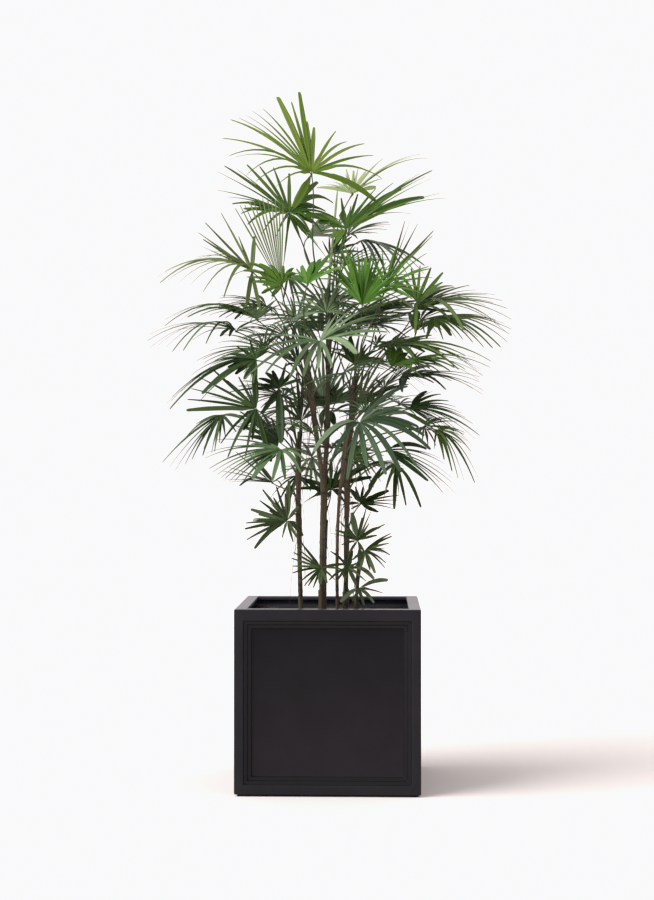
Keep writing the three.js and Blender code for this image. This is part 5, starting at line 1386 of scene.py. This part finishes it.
def leaf_group():
    """Leaf skin: fine ribs along the blade from the UV map, with roughness that varies in soft patches."""
    group, given, result = new_group("leaf_ribs", {
        "Ribs": 9.0, "Rib Height": 0.3, "Rough Low": 0.35, "Rough High": 0.55},
        {"Roughness": "Float", "Normal": "Vector"})
    split = add(group, "SeparateXYZ", {"Vector": add(group, "UVMap", {}).outputs["UV"]})
    turns = times(group, split.outputs["X"], given["Ribs"])
    ribs = add(group, "Math", {0: turns, 1: 0.5}, operation="PINGPONG").outputs["Value"]
    patches = noise(group, object_place(group), LEAF_PATCHES, 3.0)
    give(group, result, Roughness=spread(group, patches, given["Rough Low"], given["Rough High"]),
         Normal=relief(group, ribs, given["Rib Height"], RIB_DEPTH))
    return group


LEAF = leaf_group()


def leaf_material(name, colour, sheen=STALK_SHEEN):
    """A satin leaf in one plain colour."""
    material, shader = principled(name)
    shader.inputs["Base Color"].default_value = (*colour, 1.0)
    shader.inputs["Specular IOR Level"].default_value = sheen
    place_group(material, shader, LEAF, {"Ribs": 9.0, "Rib Height": 0.35, "Rough Low": 0.36,
                                         "Rough High": 0.56})
    return material


dry_tip = leaf_material("leaf_dry_tip", TIP_COLOUR)
leaf_skins = [leaf_material(f"leaf_{look}_{part}", colour, GLOSSY if look in GLOSSY_LOOKS else SATIN)
              for look, colours in LEAF_COLOURS.items() for part, colour in zip(PARTS, colours)] + [dry_tip]
rings = len(STATIONS)
column = np.tile(np.arange(ACROSS), rings - 1)
is_under = (column >= UNDER_COLUMNS[0]) & (column <= UNDER_COLUMNS[1])
ring_row = np.repeat(np.arange(rings - 1), ACROSS)
is_tip = ring_row >= rings - TIP_RINGS
for tone in TONES:
    blade, skin, brown = (np.concatenate(parts) for parts in zip(*grown[tone]))
    total = len(blade)
    # The underside's colour is partly painted light shining through the leaf
    under = skin[:, None] // len(PARTS) * len(PARTS) + PARTS.index("under")
    finish = np.where(is_under[None, :], under, skin[:, None])
    finish = np.where(is_tip[None, :] & brown[:, None], leaf_skins.index(dry_tip), finish)
    used, finish = np.unique(np.concatenate([finish.reshape(-1), np.repeat(skin, 2)]), return_inverse=True)
    fan = put_mesh(f"fingers_{tone}", blade.reshape(-1, 3), *tubes(total, rings, ACROSS),
                   [leaf_skins[number] for number in used], finish, tube_uv(total, STATIONS, ACROSS))
    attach(fan, "root")
    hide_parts(*held[tone])

# ------------------------------------------------------------------------------
# The stalks are thin smooth green rods, some browner than others. Each starts at its cane, where a sheath holds
# it, and ends in a small boss under its fan.

STALK_COLOURS = ((0.060, 0.085, 0.030), (0.045, 0.060, 0.026), (0.080, 0.080, 0.040))
STALK_POINTS = 28
STALK_SIDES = 8
STALK_RADIUS, STALK_TAPER = 1.9, 0.7
BOSS, BOSS_REACH = 1.5, 0.022
STALK_FOOT, STALK_FOOT_REACH = 1.1, 0.04
STALK_GAP = 0.2
PAST_HUB, UNDER_HUB = 2.0, 1.0
STALK_BEND = 0.38
CLIMB, LEVELLING = 1.6, 0.5
STRAIGHTER, LESS_STRAIGHT, ARRIVE_LEAST = 1.6, 0.3, 0.1


def tube(line, radii, sides, up=(0.0, 0.0, 1.0)):
    """A round rod along a line: in each place a ring across the line's direction."""
    course = unit(np.gradient(line, axis=0))
    across = unit(np.cross(course, up))
    above = np.cross(course, across)
    turn = np.arange(sides) * 2.0 * np.pi / sides
    ring = across[:, None, :] * np.cos(turn)[None, :, None] + above[:, None, :] * np.sin(turn)[None, :, None]
    return line[:, None, :] + ring * np.asarray(radii)[:, None, None]


def stalk(row, leader, cane):
    """A rod along a cubic that climbs out of the leader's sheath and levels out at the row's hub. It tapers,
    and is thicker at its foot and under the fan, as bell curves."""
    middle, radius = cane_at(cane, [leader[0]])
    outwards = np.array(leader[1:4], float) - middle[0]
    outwards[2] = 0.0
    outwards = unit(outwards)
    m, _, n = directions(*row[4:7])
    start = middle[0] + outwards * (radius[0] + STALK_GAP)
    end = np.array(row[1:4], float) + PAST_HUB * m - UNDER_HUB * n
    reach = STALK_BEND * np.linalg.norm(end - start)
    climb = unit(outwards + [0.0, 0.0, CLIMB])
    arrive = unit(m + [0.0, 0.0, LEVELLING])
    arrive = arrive * np.clip(STRAIGHTER * arrive @ unit(end - start) - LESS_STRAIGHT, ARRIVE_LEAST, 1.0)
    share = np.linspace(0.0, 1.0, STALK_POINTS)
    t = share[:, None]
    first, second = start + climb * reach, end - arrive * reach
    line = (1 - t) ** 3 * start + 3 * (1 - t) ** 2 * t * first + 3 * (1 - t) * t ** 2 * second + t ** 3 * end
    radii = STALK_RADIUS - STALK_TAPER * share + BOSS * np.exp(-((share - 1.0) / BOSS_REACH) ** 2)
    return tube(line, radii + STALK_FOOT * np.exp(-(share / STALK_FOOT_REACH) ** 2), STALK_SIDES)


stalks = [stalk(*each) for each in carried]
stalk_skins = [leaf_material(f"stalk_skin_{number}", colour) for number, colour in enumerate(STALK_COLOURS, 1)]
skin = np.floor(chance(400, np.arange(len(stalks))) * len(STALK_COLOURS)).astype(int)
finish = np.concatenate([np.repeat(skin, (STALK_POINTS - 1) * STALK_SIDES), np.repeat(skin, 2)])
rods = put_mesh("stalks", np.concatenate(stalks).reshape(-1, 3), *tubes(len(stalks), STALK_POINTS, STALK_SIDES),
                stalk_skins, finish, tube_uv(len(stalks), np.zeros(STALK_POINTS), STALK_SIDES))
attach(rods, "root")

# ------------------------------------------------------------------------------
# Where a stalk leaves its cane, its foot is a sheath of coarse brown fibre, wrapped round the cane as a sleeve.
# The sleeve stands off the cane a little and flares on the stalk's side.

SHEATH_AROUND = 20
SHEATH_ROWS = 9
SHEATH_LENGTH = 58.0
SHEATH_WALL = 0.7
# The upper edge starts below the stalk's foot and rises on the stalk's side, and both edges wave a little
EDGE_BELOW, EDGE_RISE = 16.0, 20.0
UPPER_WAVE, UPPER_WAVES = 3.0, 5.0
LOWER_WAVE, LOWER_WAVES = 4.0, 3.0
SLEEVE_GAP, SLEEVE_WIDENS, SLEEVE_FLARE = 0.55, 0.9, 1.6
RIPPLE, RIPPLES = 0.12, 9.0
STREAK_STEP = 0.37


def sheath(cane, row, seed):
    """A wrapped sleeve: an outer and an inner wall round the cane, at a gap that widens upwards and most on the
    stalk's side. The upper edge is highest on that side, and both edges and the gap have sine waves."""
    foot = row[0]
    turn = np.arange(SHEATH_AROUND) * 2.0 * np.pi / SHEATH_AROUND
    middle, _ = cane_at(cane, [foot])
    side = 0.5 + 0.5 * np.cos(turn - np.arctan2(row[2] - middle[0, 1], row[1] - middle[0, 0]))
    share = np.linspace(0.0, 1.0, SHEATH_ROWS)[:, None]
    top = foot - EDGE_BELOW + EDGE_RISE * side + UPPER_WAVE * np.sin(UPPER_WAVES * turn + seed)
    bottom = foot - SHEATH_LENGTH - LOWER_WAVE * np.sin(LOWER_WAVES * turn + 2.0 * seed)
    heights = bottom + (top - bottom) * share
    line, radius = cane_at(cane, np.clip(heights.reshape(-1), CANE_FOOT, CANES[cane][2][-1][2]))
    line, radius = line.reshape(*heights.shape, 3), radius.reshape(heights.shape)
    flare = SLEEVE_GAP + SLEEVE_WIDENS * share + SLEEVE_FLARE * side * share ** 4
    ripple = RIPPLE * np.sin(RIPPLES * turn + 2.0 * share)
    inner, outer = (upright(line, radius + (flare + away * 0.5) + ripple, turn, heights)
                    for away in (-SHEATH_WALL, SHEATH_WALL))
    return np.concatenate([outer, inner[::-1]])


rings = 2 * SHEATH_ROWS
rise = np.arange(rings + 1) * SHEATH_LENGTH * MM / SHEATH_ROWS
sleeve_uv = tube_uv(1, rise, SHEATH_AROUND)[:-2 * SHEATH_AROUND]
sleeve_uv = sleeve_uv + np.arange(len(feet))[:, None, None] * [0.0, STREAK_STEP]
sleeve_faces, _ = tubes(len(feet), rings, SHEATH_AROUND, closed=True)
husk = fibrous("leaf_fibre", (0.018, 0.012, 0.007), (0.092, 0.060, 0.028), (0.066, 0.040, 0.020),
               (0.016, 0.011, 0.008), streaks=22.0, height=0.9)
sleeves = put_mesh("fibre_sheaths", np.concatenate([sheath(*foot) for foot in feet]).reshape(-1, 3),
                   sleeve_faces, (), [husk], uv=sleeve_uv)
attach(sleeves, "root")

# ------------------------------------------------------------------------------
# Loose brown fibres hang from the lower edges of the sheaths, where the wrapping has frayed. Each is a thin
# thread that starts at the cane, swings out and falls.

LOOSE_EACH = 3
LOOSE_SHARE = 0.85
LOOSE_THICKNESS = 0.5
LOOSE_POINTS = 12
LOOSE_SIDES = 5
LOOSE_BELOW = 960.0
LOOSE_INSIDE = 4.0
LOOSE_GAP = 0.4
SWING_LEAST, SWING_MORE, SWING_POWER, SWING_BACK = 5.0, 30.0, 0.8, 0.35
SIDEWAYS, WAVES = 9.0, 3.0
DROP_LEAST, DROP_MORE = 45.0, 105.0
LUCK_STEP = 0.37
fall = np.linspace(0.0, 1.0, LOOSE_POINTS)
threads = []
for number, (cane, row, seed) in enumerate(feet):
    for strand in range(LOOSE_EACH):
        luck = chance(700 + seed, LOOSE_EACH * number + strand + np.arange(5) * LUCK_STEP)
        if luck[0] > LOOSE_SHARE or row[0] > LOOSE_BELOW:
            continue
        middle, radius = cane_at(cane, [row[0] - SHEATH_LENGTH + LOOSE_INSIDE])
        swing = (SWING_LEAST + SWING_MORE * luck[2]) * fall ** SWING_POWER * (1.0 - SWING_BACK * fall)
        out = radius[0] + LOOSE_GAP + swing
        aside = SIDEWAYS * (luck[3] - 0.5) * np.sin(WAVES * fall)
        drop = -(DROP_LEAST + DROP_MORE * luck[4]) * fall
        east, north = np.cos(2.0 * np.pi * luck[1]), np.sin(2.0 * np.pi * luck[1])
        line = np.stack([middle[0, 0] + out * east - aside * north, middle[0, 1] + out * north + aside * east,
                         middle[0, 2] + drop], -1)
        threads.append(tube(line, LOOSE_THICKNESS * (1.0 - 0.5 * fall), LOOSE_SIDES, (1.0, 0.0, 0.0)))
strands = put_mesh("loose_fibres", np.concatenate(threads).reshape(-1, 3),
                   *tubes(len(threads), LOOSE_POINTS, LOOSE_SIDES), [husk])
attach(strands, "root")

# ------------------------------------------------------------------------------
# A white studio: a plain floor that runs out of sight into an even white surround, a broad soft key light
# high on the left, and a camera nearly level with the middle of the plant.

FLOOR_HALF = 60000.0
FLOOR_COLOUR = (0.90, 0.845, 0.83, 1.0)
floor_paint, floor_shader = principled("floor_paint")
floor_shader.inputs["Base Color"].default_value = FLOOR_COLOUR
floor_shader.inputs["Roughness"].default_value = 1.0
floor_shader.inputs["Specular IOR Level"].default_value = 0.0
floor = put_mesh("studio_floor", np.array([(-1, -1, 0), (1, -1, 0), (1, 1, 0), (-1, 1, 0)]) * FLOOR_HALF,
                 [(0, 1, 2, 3)], materials=[floor_paint])

KEY_FROM = np.radians(204.0)
KEY_HEIGHT = np.radians(40.0)
KEY_STRENGTH = 3.3
KEY_WIDTH = np.radians(44.0)
KEY_COLOUR = (1.0, 0.99, 0.975)
key_light = bpy.data.lights.new("key", "SUN")
key_light.energy = KEY_STRENGTH
key_light.angle = KEY_WIDTH
key_light.color = KEY_COLOUR
key = bpy.data.objects.new("key", key_light)
key.rotation_euler = (np.pi / 2.0 - KEY_HEIGHT, 0.0, KEY_FROM + np.pi / 2.0)
bpy.context.scene.collection.objects.link(key)

SURROUND_LIGHT = 0.80
SURROUND_SEEN = 1.1
SURROUND_COLOUR = (1.0, 0.950, 0.935, 1.0)
world = bpy.data.worlds.new("studio_surround")
bpy.context.scene.world = world
world.use_nodes = True
tree = world.node_tree
tree.nodes.clear()
strength = add(tree, "MapRange", {"Value": add(tree, "LightPath", {}).outputs["Is Camera Ray"],
                                  "To Min": SURROUND_LIGHT, "To Max": SURROUND_SEEN})
surround = add(tree, "Background", {"Color": SURROUND_COLOUR, "Strength": strength.outputs["Result"]})
add(tree, "OutputWorld", {"Surface": surround.outputs["Background"]})

# The picture's white is held just under full white, as in the photograph
PAPER_WHITE = (0.946, 0.950, 0.957)
view = bpy.context.scene.view_settings
view.view_transform = "Standard"
view.use_curve_mapping = True
view.curve_mapping.extend = "HORIZONTAL"
for channel, white in enumerate(PAPER_WHITE):
    view.curve_mapping.curves[channel].points[1].location = (1.0, white)
view.curve_mapping.update()

# The camera stands where the photograph's eye was, with the small turn and tilt that put the vanishing point
# off the picture's middle
PHOTO_HEIGHT = 900.0
SENSOR = 36.0
TURN_LEFT = np.radians(1.70)
TILT_UP = np.radians(0.42)
eye = bpy.data.cameras.new("eye")
eye.sensor_width = SENSOR
eye.lens = FOCAL_PIXELS / PHOTO_HEIGHT * SENSOR
camera = bpy.data.objects.new("eye", eye)
camera.location = EYE * MM
camera.rotation_euler = (np.pi / 2.0 + TILT_UP, 0.0, TURN_LEFT)
bpy.context.scene.collection.objects.link(camera)
bpy.context.scene.camera = camera
